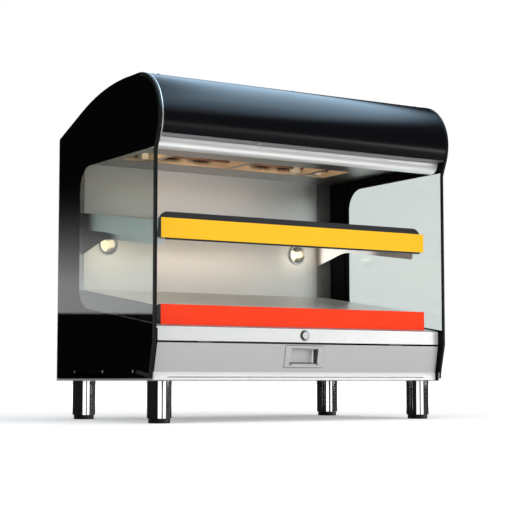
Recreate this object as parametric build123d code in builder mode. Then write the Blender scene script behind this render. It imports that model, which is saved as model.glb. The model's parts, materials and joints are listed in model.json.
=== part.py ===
from build123d import *
from math import acos, atan2, cos, degrees, hypot, radians, sin, sqrt, tan
import os

# Heated shelf merchandiser: an open-fronted counter cabinet with two sloping warm shelves.
# X runs across the front, Y from the customer's side to the rear, Z up from the table.
# The origin is the middle of the bounding box, on the table. Millimetres throughout.

os.makedirs("parts", exist_ok=True)

# Overall sizes
span = 914.0                # over the two side glasses
glass_thick = 6.0
print_thick = 0.5           # black enamel border on the inner face of each glass
frame_thick = 3.0           # side frame plates behind the glass
sheet = 1.5                 # folded stainless sheet
skin = 2.0                  # canopy skin and roof
seam = 0.5                  # gap left where two sheets meet edge to edge
run_clear = 0.05            # radial clearance of anything that turns or slides
upright = 90.0              # angle of a line straight up
nut_side_count = 6

# Side outline: depths are measured from the glass's straight front edge, heights from the table
rear_depth = 604.0          # rear edge of the side frames
glass_rear_inset = 17.0     # steel left bare behind the glass
glass_foot_inset = 6.0      # steel left bare below the glass
roof_stand = 4.0            # steel standing above the glass along the roof
foot_clearance = 106.0      # underside of the base above the table
toe_depth = 20.0
kick_depth = 18.5
kick_height = 128.0
knee_height = 206.0
brow_height = 680.0
nose_depth = 100.0
nose_height = 766.0
nose_radius = 125.0
crown_depth = 173.0         # where the roof starts to fall
crown_radius = 772.0
fall_depth = 440.0          # where the roof's curve becomes straight

# Window left clear in the printed border
window_front = 5.0
window_rear = 450.0
window_top = 689.0
window_sill = 245.0         # height of the sill at the window's front edge
window_corner = 62.0
frame_cover = 9.0           # how far the frame's edge hides behind the print's edge
frame_rear_cover = 22.0
frame_corner = 40.0

# Shelves
shelf_slope = 8.0
shelf_side_gap = 30.5
shelf_front = 60.0
shelf_wall_gap = 2.0        # from its lowest rear corner to the rear wall
shelf_thick = 46.0
upper_shelf_height = 510.0  # top surface at the front edge
lower_shelf_height = 295.5
mat_thick = 2.0
mat_margin = 25.0

# Sign strips and their holders
strip_height = 51.0
strip_thick = 1.5
strip_face = 42.0
upper_strip_foot = 465.6
strip_clear = 0.3           # lower strip above the base deck
guard_rise = 17.0           # product guard above the upper strip
guard_thick = 2.0
guard_corner = 26.0
holder_lip_drop = 4.5       # black lip that shows under the upper strip
holder_lip_inset = 12.0
holder_lip_thick = 3.0

# Brackets under the upper shelf
arm_width = 20.5            # from the shelf's side to the arm's inner face
arm_depth = 18.0
arm_setback = 0.5           # behind the shelf's front edge
arm_nose_cut = 4.0
arm_wall = 2.0
gusset_thick = 2.0
gusset_inset = 19.5         # its middle from the shelf's side
gusset_drop_height = 460.5
gusset_length = 180.0       # ahead of the rear wall
gusset_bow_length = 120.0
gusset_bow_height = 487.0
hook_height = 14.0
hook_depth = 9.0
hook_heights = (472.0, 508.0)
slot_clear = 0.6

# Rear wall, posts and cover
rear_space = 59.0           # behind the rear wall, for lamps and wiring
wall_foot = 250.0
wall_top = 735.0
wall_sheet = 1.2
post_width = 52.0
post_top = 782.0
post_return = 20.0
cover_inset = 4.0           # rear cover set in from the side frames' edge
cover_side_gap = 3.0
cover_foot = 108.0
cover_top = 778.0
louvre_length = 62.0
louvre_width = 6.0
louvre_pitch_x = 84.0
louvre_pitch_z = 15.0
louvre_columns = 7
louvre_rows = 4
louvre_heights = (205.0, 725.0)

# Round lamps in the rear wall
lamp_inset = 73.5           # from the wall's side edge
lamp_height = 492.0
lamp_radius = 30.0
lens_radius = 24.0
lens_thick = 2.5
bezel_depth = 6.0
bezel_round = 1.8
cup_depth = 30.0
cup_neck = 11.0
cup_wall = 1.0
bulb_radius = 5.0
bulb_length = 24.0
bulb_round = 3.0
bulb_base = 10.0

# Canopy and heater housing
hem_angle = 200.8           # end of the canopy skin, counted about the nose from the rear
hem_rear = 11.0
hem_fall = 3.5
hem_rise = 16.0
splice_lap_angle = 4.0
splice_angle = 14.0
screw_angle_from_crest = 10.0
canopy_screw_inset = 36.0
hem_screw_half = 158.0
hem_screw_depth = -6.0
roof_lip = 14.0
valance_foot = 690.0
valance_rear = 45.0
valance_sheet = 1.2
soffit_height = 718.0
soffit_front = 42.0
well_front = 280.0
well_rear = 425.0
well_bar = 12.0
well_pitch = 256.0
well_end = 340.0
well_rise = 45.0
reflector_sheet = 1.0
element_radius = 4.0
element_clear = 0.3
element_front = 335.0
element_rear = 405.0
element_height = 738.0
element_end = 352.0
support_width = 20.0
support_depth = 26.0
support_height = 32.0
support_insets = (20.5, -30.0, 46.0)    # from the bars between the wells

# Base pan, deck and front bar
pan_front = 43.0
pan_wall = 34.0
pan_front_wall = 14.0
bar_depth = 19.0
bar_foot = 206.0
bar_lip = 11.0
bar_flange = 56.0

# Drop-down access door
door_side_gap = 2.5
door_toe_depth = 31.0
door_toe_height = 108.0
door_head_depth = 17.0
door_head_height = 201.0
door_flange = 29.0
door_lip = 7.0
door_cheek_head = 18.0
door_cheek_mid = 11.0
door_cheek_foot = 9.0
vent_slot = 2.5
vent_slot_height = 115.0
vent_slot_margin = 41.0
pivot_depth = 34.8
pivot_height = 111.5
pivot_radius = 2.0
catch_inset = 145.0
catch_length = 40.0
catch_width = 8.0
catch_thick = 4.2

# Recessed pull in the door
pull_width = 120.0
pull_height = 56.5
pull_centre = 169.0
pocket_width = 84.0
pocket_height = 39.0
pocket_depth = 24.0
pull_sheet = 1.2
pull_corner = 1.5
pull_gap = 0.1              # round the recess in the door
relief_radius = 3.0

# Lock in the front bar
lock_height = 224.5
lock_flange_radius = 14.5
lock_flange_thick = 2.0
lock_barrel_radius = 11.0
lock_barrel_length = 12.0
plug_radius = 8.0
plug_proud = 0.6
keyway_width = 9.0
keyway_tall = 1.6
keyway_depth = 5.0
cam_length = 30.0
cam_width = 12.0
cam_thick = 2.5
cam_screw_radius = 4.0
cam_screw_head = 2.5
cam_slot_clear = 3.5        # round the cam in the door's flange
lock_nut_flats = 26.0
lock_nut_thick = 5.0

# Controls behind the door
panel_depth = 80.0
panel_inset = 37.5          # from the side frame
panel_width = 300.0
panel_top = 200.0
panel_foot = 22.0
control_height = 158.0
knob_insets = (50.0, 130.0)     # from the panel's left edge
knob_names = ("upper_heat_knob", "lower_heat_knob")
knob_radius = 19.0
knob_skirt = 8.0
knob_chamfer = 2.0
knob_grip = 9.0
knob_grip_width = 9.0
knob_grip_round = 3.0
knob_grip_margin = 4.0
shaft_radius = 3.0
shaft_length = 20.0
thermostat_size = 40.0
thermostat_length = 32.0
switch_insets = (205.0, 260.0)
switch_names = ("power_rocker", "lights_rocker")
bezel_width = 29.0
bezel_tall = 36.0
bezel_thick = 2.5
switch_width = 23.0
switch_tall = 31.0
switch_length = 26.0
switch_cavity_width = 20.0
switch_cavity_tall = 28.0
switch_cavity_depth = 12.0
rocker_width = 19.0
rocker_tall = 25.0
rocker_crest = 8.5
rocker_dip = 2.0
rocker_back = 3.0
rocker_pivot_back = 4.0     # pivot behind the panel's front face
rocker_tilt = 7.0
axle_radius = 1.5
axle_reach = 11.0

# Supply inlet and wiring
gland_inset = 67.5          # from the side frame
gland_height = 160.0
gland_radius = 12.0
gland_bore = 5.0
gland_thread = 9.0
gland_proud = 9.0
gland_chamfer = 3.0
gland_nut_radius = 13.0
gland_nut_thick = 6.0
block_inset = 102.5         # its middle from the side frame
block_rear_gap = 64.5
block_width = 84.0
block_length = 28.0
block_height = 22.0
block_poles = 6
block_pitch = 12.0
harness_radius = 4.0
harness_bend = 12.0
harness_run = 36.0          # straight run behind the switches

# Legs and feet
leg_inset = 39.5            # a leg's middle from the side frame
leg_front = 65.0
leg_rear_inset = 92.0
leg_radius = 31.0
leg_wall = 2.0
leg_gap = 0.5               # shadow gap between a foot and its leg
foot_radius = 27.5
foot_height = 11.5
foot_edge = 1.0
stem_radius = 6.0
stem_length = 50.0
leg_plug_length = 24.0
leg_cap_length = 12.0
bolt_radius = 5.0
bolt_head_radius = 8.5
bolt_head = 6.0

# Small screws
screw_radius = 2.0
screw_head_radius = 4.0
screw_head = 1.4
screw_round = 0.8
glass_screw_depths = (117.0, 293.0, 469.0)
glass_screw_height = 129.5
rear_screw_inset = 15.0
rear_screw_heights = (150.0, 350.0, 550.0, 750.0)
screw_length = 6.0

# Places worked out from the sizes above
glass_inner = span / 2 - glass_thick
shell_half = glass_inner - print_thick
inner_half = shell_half - frame_thick
canopy_half = inner_half - seam
glass_rear = rear_depth - glass_rear_inset
glass_foot = foot_clearance + glass_foot_inset
cover_depth = rear_depth - cover_inset
pan_rear = cover_depth - sheet
pan_floor = foot_clearance + sheet
nose_reach = nose_radius - nose_depth
rear_most = cover_depth + gland_proud
front_y = -(rear_most - nose_reach) / 2
tilt = radians(shelf_slope)
wall_depth = rear_depth - rear_space
shelf_rear = wall_depth - shelf_wall_gap
leg_rear = rear_depth - leg_rear_inset
shelf_length = (shelf_rear - shelf_front - shelf_thick * sin(tilt)) / cos(tilt)
shelf_half = inner_half - shelf_side_gap
gusset_x = shelf_half - gusset_inset
post_outer = inner_half - sheet
post_inner = post_outer - post_width
wall_half = post_inner - seam
lamp_x = wall_half - lamp_inset
door_half = inner_half - door_side_gap
catch_x = door_half - catch_inset
leg_x = inner_half - leg_inset
panel_right = inner_half - panel_inset
panel_left = panel_right - panel_width
knob_x = [panel_left + inset for inset in knob_insets]
switch_x = [panel_left + inset for inset in switch_insets]
gland_x = inner_half - gland_inset
block_x = inner_half - block_inset
block_back = pan_rear - block_rear_gap
canopy_screw_x = (canopy_screw_inset - canopy_half, 0, canopy_half - canopy_screw_inset)
hem_screw_x = (-hem_screw_half, hem_screw_half)
rear_screw_x = post_outer - rear_screw_inset
support_x = (-well_pitch - support_insets[0], well_pitch + support_insets[1], well_pitch + support_insets[2])
side = Plane(origin=(0, front_y, 0), x_dir=(0, 1, 0), z_dir=(1, 0, 0))
front = Plane(origin=(0, front_y, 0), x_dir=(1, 0, 0), z_dir=(0, -1, 0))
hands = ((-1, "left"), (1, "right"))
glass_screw_spots = [(depth, glass_screw_height) for depth in glass_screw_depths]


def at(x, depth, height):
    """Point given across, behind the glass's front edge and above the table"""
    return (x, front_y + depth, height)


def facing(depth):
    """Plane at a depth whose normal points to the customer"""
    return front.offset(-depth)


def level(height):
    """Level plane whose second axis is the depth behind the glass's front edge"""
    return Plane(origin=(0, front_y, height), x_dir=(1, 0, 0), z_dir=(0, 0, 1))


def shelf_plane(height):
    """Plane of a shelf's side section: first axis up the slope, second square to it"""
    return Plane(origin=at(0, shelf_front, height), x_dir=(0, cos(tilt), sin(tilt)), z_dir=(1, 0, 0))


def deck_height(depth):
    """Top of the sloping base deck, which the lower shelf lies on"""
    return lower_shelf_height - shelf_thick / cos(tilt) + (depth - shelf_front) * tan(tilt)


def nose_point(radius, angle):
    """Point about the nose's centre, the angle counted from the rear over the top"""
    turn = radians(angle)
    return (nose_depth + radius * cos(turn), nose_height + radius * sin(turn))


def touch_angle(depth, height, turn):
    """Angle about the nose's centre where a line from an outer point touches the nose"""
    away = degrees(atan2(height - nose_height, depth - nose_depth)) % 360
    gap = hypot(depth - nose_depth, height - nose_height)
    return away + turn * degrees(acos(nose_radius / gap))


def crown_height(stand):
    return nose_height + nose_radius + stand


def roof_height(depth, stand):
    """Height of the straight rear part of the roof"""
    radius = crown_radius + stand
    run = fall_depth - crown_depth
    drop = sqrt(radius**2 - run**2)
    return crown_height(stand) - radius + drop - (depth - fall_depth) * run / drop


def roof_run(stand, rear):
    """Outline of the roof from the nose's touching point to the rear edge"""
    radius = crown_radius + stand
    crown = (crown_depth, crown_height(stand))
    start = touch_angle(*crown, 1)
    end = degrees(acos((fall_depth - crown_depth) / radius))
    with BuildLine() as run:
        Line(nose_point(nose_radius, start), crown)
        CenterArc((crown_depth, crown[1] - radius), radius, upright, end - upright)
        Line((fall_depth, roof_height(fall_depth, stand)), (rear, roof_height(rear, stand)))
    return run.edges()


def side_outline(stand, rear, foot):
    """Closed outline of a side plate"""
    brow = touch_angle(0, brow_height, -1)
    start = touch_angle(crown_depth, crown_height(stand), 1)
    with BuildLine() as outline:
        Polyline(
            (rear, roof_height(rear, stand)),
            (rear, foot),
            (toe_depth, foot),
            (kick_depth, kick_height),
            (0, knee_height),
            (0, brow_height),
            nose_point(nose_radius, brow),
        )
        CenterArc((nose_depth, nose_height), nose_radius, start, brow - start)
        add(roof_run(stand, rear))
    return outline.edges()


def sill_height(depth):
    return window_sill + (depth - window_front) * tan(tilt)


def window_outline(front_edge, rear_edge, top, drop, corner):
    """Opening with a sloping sill and round rear corners"""
    with BuildLine() as window:
        Polyline(
            (front_edge, top),
            (front_edge, sill_height(front_edge) - drop),
            (rear_edge, sill_height(rear_edge) - drop),
            (rear_edge, top),
            close=True,
        )
        fillet(window.vertices().group_by(Axis.X)[-1], corner)
    return window.edges()


def folded(points, thick, turn=Side.RIGHT):
    """Section of a sheet folded through the points, its thickness on one side"""
    with BuildLine() as fold:
        Polyline(*points)
        offset(amount=thick, side=turn, kind=Kind.INTERSECTION)
    return fold.edges()


def rolled(outer, inner, start, size):
    """Section of a sheet rolled about the nose's centre"""
    with BuildLine() as ring:
        CenterArc((nose_depth, nose_height), outer, start, size)
        CenterArc((nose_depth, nose_height), inner, start, size)
        Line(nose_point(outer, start), nose_point(inner, start))
        Line(nose_point(outer, start + size), nose_point(inner, start + size))
    return ring.edges()


def save(piece, name):
    piece.label = name
    export_step(piece, f"parts/{name}.step")


# Side glasses, their printed borders, the C-shaped steel frames and the screws through them
for hand, word in hands:
    with BuildPart() as side_glass:
        with BuildSketch(side.offset(hand * glass_inner)):
            make_face(side_outline(0, glass_rear, glass_foot))
            with Locations(*glass_screw_spots):
                Circle(screw_radius, mode=Mode.SUBTRACT)
        extrude(amount=hand * glass_thick)
        with BuildSketch(side.offset(hand * span / 2)):
            with Locations(*glass_screw_spots):
                Circle(screw_head_radius)
        extrude(amount=-hand * screw_head, mode=Mode.SUBTRACT)
    side_glass.part.label = f"{word}_side_glass"
    export_step(side_glass.part, f"parts/{word}_side_glass.step")

    with BuildPart() as side_frame:
        with BuildSketch(side.offset(hand * inner_half)):
            make_face(side_outline(roof_stand, rear_depth, foot_clearance))
            make_face(
                window_outline(
                    -nose_radius,
                    window_rear + frame_rear_cover,
                    window_top + frame_cover,
                    frame_cover,
                    frame_corner,
                ),
                mode=Mode.SUBTRACT,
            )
            with Locations(*glass_screw_spots):
                Circle(screw_radius, mode=Mode.SUBTRACT)
            with Locations((pivot_depth, pivot_height)):
                Circle(pivot_radius, mode=Mode.SUBTRACT)
        extrude(amount=hand * frame_thick)
    side_frame.part.label = f"{word}_side_frame"
    export_step(side_frame.part, f"parts/{word}_side_frame.step")

with BuildPart() as border_prints:
    for hand, word in hands:
        with BuildSketch(side.offset(hand * shell_half)):
            make_face(side_outline(0, glass_rear, glass_foot))
            make_face(
                window_outline(window_front, window_rear, window_top, 0, window_corner),
                mode=Mode.SUBTRACT,
            )
            with Locations(*glass_screw_spots):
                Circle(screw_radius, mode=Mode.SUBTRACT)
        extrude(amount=hand * print_thick)
save(border_prints.part, "border_prints")

with BuildPart() as side_glass_screws:
    for hand, word in hands:
        with BuildSketch(side.offset(hand * (inner_half - sheet))):
            with Locations(*glass_screw_spots):
                Circle(screw_radius)
        extrude(amount=hand * (span / 2 - inner_half + sheet - screw_head))
        with BuildSketch(side.offset(hand * span / 2)):
            with Locations(*glass_screw_spots):
                Circle(screw_head_radius)
        extrude(amount=-hand * screw_head)
save(side_glass_screws.part, "side_glass_screws")

# Canopy: rolled black skin, the splice under its top edge, and the stainless roof behind it
crest_angle = touch_angle(crown_depth, crown_height(roof_stand), 1)
skin_outer = nose_radius - seam
skin_inner = skin_outer - skin
screw_angle = crest_angle + screw_angle_from_crest
crest_screws = [
    Location(at(x, *nose_point(skin_outer, screw_angle)), (screw_angle - upright, 0, 0))
    for x in canopy_screw_x
]
hem_depth, hem_height = nose_point(skin_outer, hem_angle)

with BuildPart() as canopy_skin:
    with BuildSketch(side):
        make_face(rolled(skin_outer, skin_inner, crest_angle + seam, hem_angle - crest_angle - seam))
    extrude(amount=canopy_half, both=True)
    with Locations(*crest_screws):
        Cylinder(screw_radius, 2 * screw_length, mode=Mode.SUBTRACT)
save(canopy_skin.part, "canopy_skin")

with BuildPart() as canopy_splice:
    with BuildSketch(side):
        make_face(rolled(skin_inner, skin_inner - skin, crest_angle + splice_lap_angle, splice_angle))
    extrude(amount=canopy_half, both=True)
    with Locations(*crest_screws):
        Cylinder(screw_radius, 2 * screw_length, mode=Mode.SUBTRACT)
save(canopy_splice.part, "canopy_splice")

with BuildPart() as roof_panel:
    with BuildSketch(side):
        with BuildLine():
            add(roof_run(roof_stand, rear_depth))
            roof_end = roof_height(rear_depth, roof_stand)
            Line((rear_depth, roof_end), (rear_depth, roof_end - roof_lip))
            offset(amount=skin, side=Side.RIGHT, kind=Kind.INTERSECTION)
        make_face()
    extrude(amount=canopy_half, both=True)
save(roof_panel.part, "roof_panel")

# Hem strip under the canopy's front edge, with two screws
hem_line = [
    (hem_depth, hem_height - sheet - seam),
    (hem_rear, hem_height - sheet - seam - hem_fall),
    (hem_rear, hem_height - sheet - seam - hem_fall + hem_rise),
]
hem_lean = degrees(atan2(hem_fall, hem_rear - hem_depth))
hem_screw_height = hem_line[0][1] - hem_fall * (hem_screw_depth - hem_depth) / (hem_rear - hem_depth)
hem_screws = [
    Location(at(x, hem_screw_depth, hem_screw_height), (180 - hem_lean, 0, 0)) for x in hem_screw_x
]

with BuildPart() as canopy_hem:
    with BuildSketch(side):
        make_face(folded(hem_line, sheet, Side.LEFT))
    extrude(amount=canopy_half, both=True)
    with Locations(*hem_screws):
        Cylinder(screw_radius, 2 * screw_length, mode=Mode.SUBTRACT)
save(canopy_hem.part, "canopy_hem")

# Bright rounded valance ahead of the heater housing
valance_start = (hem_rear + seam, hem_line[1][1])
with BuildPart() as front_valance:
    with BuildSketch(side):
        with BuildLine():
            bow = TangentArc(valance_start, (valance_rear, valance_foot), tangent=(0, -1))
            Line(bow @ 1, (valance_rear, soffit_height))
            offset(amount=valance_sheet, side=Side.LEFT, kind=Kind.INTERSECTION)
        make_face()
    extrude(amount=canopy_half, both=True)
save(front_valance.part, "front_valance")

# Heater housing: soffit with four wells, a reflector over each, one hairpin element and supports
bar_half = well_bar / 2
well_spans = [
    (-well_end, -well_pitch - bar_half),
    (-well_pitch + bar_half, -bar_half),
    (bar_half, well_pitch - bar_half),
    (well_pitch + bar_half, well_end),
]
well_middle = (well_front + well_rear) / 2
well_length = well_rear - well_front
soffit_rear = wall_depth - seam

with BuildPart() as heater_soffit:
    with BuildSketch(level(soffit_height)):
        with Locations((0, (soffit_front + soffit_rear) / 2)):
            Rectangle(2 * canopy_half, soffit_rear - soffit_front)
        for low, high in well_spans:
            with Locations(((low + high) / 2, well_middle)):
                Rectangle(high - low, well_length, mode=Mode.SUBTRACT)
    extrude(amount=sheet)
save(heater_soffit.part, "heater_soffit")

element_lines = [(element_front, element_height), (element_rear, element_height)]
with BuildPart() as well_reflectors:
    for low, high in well_spans:
        with BuildSketch(level(soffit_height + sheet)):
            with Locations(((low + high) / 2, well_middle)):
                Rectangle(high - low + 2 * reflector_sheet, well_length + 2 * reflector_sheet)
        extrude(amount=well_rise)
    for low, high in well_spans:
        with BuildSketch(level(soffit_height + sheet)):
            with Locations(((low + high) / 2, well_middle)):
                Rectangle(high - low, well_length)
        extrude(amount=well_rise - reflector_sheet, mode=Mode.SUBTRACT)
    with BuildSketch(side):
        with Locations(*element_lines):
            Circle(element_radius + element_clear)
    extrude(amount=span / 2, both=True, mode=Mode.SUBTRACT)
save(well_reflectors.part, "well_reflectors")

with BuildPart() as radiant_element:
    element_turn = (element_rear - element_front) / 2
    with BuildLine(level(element_height)) as element_path:
        Line((element_end, element_front), (-element_end, element_front))
        ThreePointArc(
            (-element_end, element_front),
            (-element_end - element_turn, element_front + element_turn),
            (-element_end, element_rear),
        )
        Line((-element_end, element_rear), (element_end, element_rear))
    with BuildSketch(side.offset(element_end)):
        with Locations((element_front, element_height)):
            Circle(element_radius)
    sweep(path=element_path.wire())
save(radiant_element.part, "radiant_element")

with BuildPart() as element_supports:
    with BuildSketch(facing(well_rear)):
        with Locations(*[(x, element_height) for x in support_x]):
            RectangleRounded(support_width, support_height, seam)
    extrude(amount=support_depth)
    with BuildSketch(side):
        with Locations(*element_lines):
            Circle(element_radius + element_clear)
    extrude(amount=span / 2, both=True, mode=Mode.SUBTRACT)
save(element_supports.part, "element_supports")

# Rear wall with its two round lamps, the posts beside it and the cover behind
lamp_spots = [(-lamp_x, lamp_height), (lamp_x, lamp_height)]
with BuildPart() as rear_wall:
    with BuildSketch(facing(wall_depth)):
        with Locations((0, (wall_foot + wall_top) / 2)):
            Rectangle(2 * wall_half, wall_top - wall_foot)
        with Locations(*lamp_spots):
            Circle(lens_radius + seam, mode=Mode.SUBTRACT)
    extrude(amount=-wall_sheet)
save(rear_wall.part, "rear_wall")

with BuildPart() as lamp_bezels:
    with BuildSketch(facing(wall_depth)):
        with Locations(*lamp_spots):
            Circle(lamp_radius)
            Circle(lens_radius, mode=Mode.SUBTRACT)
    extrude(amount=bezel_depth)
    fillet(lamp_bezels.faces().group_by(Axis.Y)[0].edges(), bezel_round)
save(lamp_bezels.part, "lamp_bezels")

with BuildPart() as lamp_lenses:
    with BuildSketch(facing(wall_depth)):
        with Locations(*lamp_spots):
            Circle(lens_radius)
    extrude(amount=lens_thick)
save(lamp_lenses.part, "lamp_lenses")

with BuildPart() as lamp_reflectors:
    for x in (-lamp_x, lamp_x):
        for shrink, mode in ((0, Mode.ADD), (cup_wall, Mode.SUBTRACT)):
            with BuildSketch(facing(wall_depth)) as cup_mouth:
                with Locations((x, lamp_height)):
                    Circle(lens_radius - shrink)
            with BuildSketch(facing(wall_depth + cup_depth)) as cup_end:
                with Locations((x, lamp_height)):
                    Circle(cup_neck - shrink)
            loft([cup_mouth.sketch, cup_end.sketch], mode=mode)
save(lamp_reflectors.part, "lamp_reflectors")

with BuildPart() as lamp_bulbs:
    with BuildSketch(facing(wall_depth + cup_depth)):
        with Locations(*lamp_spots):
            Circle(bulb_radius)
    extrude(amount=bulb_length)
    fillet(lamp_bulbs.faces().group_by(Axis.Y)[0].edges(), bulb_round)
    with BuildSketch(facing(wall_depth + cup_depth)):
        with Locations(*lamp_spots):
            Circle(cup_neck)
    extrude(amount=-bulb_base)
save(lamp_bulbs.part, "lamp_bulbs")

post_rear = pan_rear - sheet
with BuildPart() as rear_posts:
    with BuildSketch(level(pan_floor)):
        make_face(
            folded(
                [
                    (post_inner, wall_depth),
                    (post_outer, wall_depth),
                    (post_outer, post_rear),
                    (post_outer - post_return, post_rear),
                ],
                sheet,
                Side.LEFT,
            )
        )
    extrude(amount=post_top - pan_floor)
    with BuildSketch(facing(wall_depth)):
        for height in hook_heights:
            with Locations((gusset_x, height)):
                Rectangle(gusset_thick + slot_clear, hook_height + slot_clear)
    extrude(amount=-sheet, mode=Mode.SUBTRACT)
    with BuildSketch(facing(post_rear)):
        with Locations(*[(rear_screw_x, height) for height in rear_screw_heights]):
            Circle(screw_radius)
    extrude(amount=sheet, mode=Mode.SUBTRACT)
    mirror(about=Plane.YZ)
save(rear_posts.part, "rear_posts")

rear_screw_spots = [(hand * rear_screw_x, height) for hand, word in hands for height in rear_screw_heights]
with BuildPart() as rear_cover:
    with BuildSketch(facing(cover_depth)):
        with Locations((0, (cover_foot + cover_top) / 2)):
            Rectangle(2 * (inner_half - cover_side_gap), cover_top - cover_foot)
        for height in louvre_heights:
            with Locations((0, height)):
                with GridLocations(louvre_pitch_x, louvre_pitch_z, louvre_columns, louvre_rows):
                    SlotOverall(louvre_length, louvre_width, mode=Mode.SUBTRACT)
        with Locations(*rear_screw_spots):
            Circle(screw_radius, mode=Mode.SUBTRACT)
        with Locations((gland_x, gland_height)):
            Circle(gland_thread, mode=Mode.SUBTRACT)
    extrude(amount=sheet)
save(rear_cover.part, "rear_cover")

rear_screws = [Location(at(x, cover_depth, height), (-upright, 0, 0)) for x, height in rear_screw_spots]
with BuildPart() as screw:
    Cylinder(screw_head_radius, screw_head, align=(Align.CENTER, Align.CENTER, Align.MIN))
    fillet(screw.faces().sort_by(Axis.Z)[-1].edges(), screw_round)
    Cylinder(screw_radius, screw_length, align=(Align.CENTER, Align.CENTER, Align.MAX))

with BuildPart() as panel_screws:
    with Locations(*crest_screws, *hem_screws, *rear_screws):
        add(screw.part)
save(panel_screws.part, "panel_screws")

with BuildPart() as cable_gland:
    with BuildSketch(facing(cover_depth)):
        with Locations((gland_x, gland_height)):
            Circle(gland_radius)
    extrude(amount=-gland_proud)
    chamfer(cable_gland.faces().sort_by(Axis.Y)[-1].edges(), gland_chamfer)
    with BuildSketch(facing(cover_depth)):
        with Locations((gland_x, gland_height)):
            Circle(gland_thread)
    extrude(amount=sheet)
    with BuildSketch(facing(cover_depth - sheet)):
        with Locations((gland_x, gland_height)):
            RegularPolygon(gland_nut_radius, nut_side_count)
    extrude(amount=gland_nut_thick)
    with BuildSketch(facing(cover_depth + gland_proud)):
        with Locations((gland_x, gland_height)):
            Circle(gland_bore)
    extrude(amount=gland_proud + sheet + gland_nut_thick, mode=Mode.SUBTRACT)
save(cable_gland.part, "cable_gland")

# Base: tray, sloping deck and the front bar that carries the lock
leg_spots = [(hand * leg_x, depth) for hand, word in hands for depth in (leg_front, leg_rear)]
pan_middle = (pan_front + pan_rear) / 2
with BuildPart() as base_pan:
    with BuildSketch(level(foot_clearance)):
        with Locations((0, pan_middle)):
            Rectangle(2 * inner_half, pan_rear - pan_front)
    extrude(amount=pan_wall)
    with BuildSketch(level(pan_floor)):
        with Locations((0, pan_middle)):
            Rectangle(2 * (inner_half - sheet), pan_rear - pan_front - 2 * sheet)
    extrude(amount=pan_wall, mode=Mode.SUBTRACT)
    with BuildSketch(facing(pan_front)):
        with Locations((0, foot_clearance + pan_front_wall + pan_wall / 2)):
            Rectangle(span, pan_wall)
    extrude(amount=-sheet, mode=Mode.SUBTRACT)
    with BuildSketch(level(foot_clearance)):
        with Locations(*leg_spots):
            Circle(bolt_radius)
    extrude(amount=sheet, mode=Mode.SUBTRACT)
    with BuildSketch(side):
        with Locations(*glass_screw_spots):
            Circle(screw_radius)
    extrude(amount=span / 2, both=True, mode=Mode.SUBTRACT)
save(base_pan.part, "base_pan")

deck_front = bar_depth + sheet
with BuildPart() as base_deck:
    with BuildSketch(side):
        deck_line = [(deck_front, deck_height(deck_front)), (soffit_rear, deck_height(soffit_rear))]
        make_face(folded(deck_line, sheet))
    extrude(amount=canopy_half, both=True)
save(base_deck.part, "base_deck")


def bar_top(depth):
    return deck_height(depth) - sheet / cos(tilt)


with BuildPart() as front_bar:
    with BuildSketch(side):
        make_face(
            folded(
                [
                    (bar_depth + bar_lip, bar_foot),
                    (bar_depth, bar_foot),
                    (bar_depth, bar_top(bar_depth)),
                    (bar_depth + bar_flange, bar_top(bar_depth + bar_flange)),
                ],
                sheet,
            )
        )
    extrude(amount=canopy_half, both=True)
    with BuildSketch(facing(bar_depth)):
        with Locations((0, lock_height)):
            Circle(lock_barrel_radius)
    extrude(amount=-sheet, mode=Mode.SUBTRACT)
save(front_bar.part, "front_bar")

# Lock: fixed housing with its nut, and the plug, key slot and cam that turn in it
barrel_end = bar_depth + lock_barrel_length
with BuildPart() as lock_housing:
    with BuildSketch(facing(bar_depth)):
        with Locations((0, lock_height)):
            Circle(lock_flange_radius)
    extrude(amount=lock_flange_thick)
    fillet(lock_housing.faces().sort_by(Axis.Y)[0].edges(), lock_flange_thick / 2)
    with BuildSketch(facing(bar_depth)):
        with Locations((0, lock_height)):
            Circle(lock_barrel_radius)
    extrude(amount=-lock_barrel_length)
    with BuildSketch(facing(barrel_end)):
        with Locations((0, lock_height)):
            Circle(plug_radius + run_clear)
    extrude(amount=lock_barrel_length + lock_flange_thick, mode=Mode.SUBTRACT)
    with BuildSketch(facing(bar_depth + sheet)):
        with Locations((0, lock_height)):
            RegularPolygon(lock_nut_flats / 2, nut_side_count, major_radius=False)
            Circle(lock_barrel_radius + run_clear, mode=Mode.SUBTRACT)
    extrude(amount=-lock_nut_thick)
save(lock_housing.part, "lock_housing")

with BuildPart() as lock_plug:
    with BuildSketch(facing(barrel_end + seam)):
        with Locations((0, lock_height)):
            Circle(plug_radius)
    extrude(amount=lock_barrel_length + seam + lock_flange_thick + plug_proud)
    with BuildSketch(facing(bar_depth - lock_flange_thick - plug_proud)):
        with Locations((0, lock_height)):
            Rectangle(keyway_width, keyway_tall)
    extrude(amount=-keyway_depth, mode=Mode.SUBTRACT)
save(lock_plug.part, "lock_plug")

cam_depth = barrel_end + seam
with BuildPart() as lock_cam:
    with BuildSketch(facing(cam_depth)):
        with Locations((0, lock_height)):
            Circle(cam_width / 2 + cam_thick)
        with Locations((cam_length / 2, lock_height)):
            Rectangle(cam_length, cam_width)
    extrude(amount=-cam_thick)
    with BuildSketch(facing(cam_depth + cam_thick)):
        with Locations((0, lock_height)):
            RegularPolygon(cam_screw_radius, nut_side_count)
    extrude(amount=-cam_screw_head)
save(lock_cam.part, "lock_cam")

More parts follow.
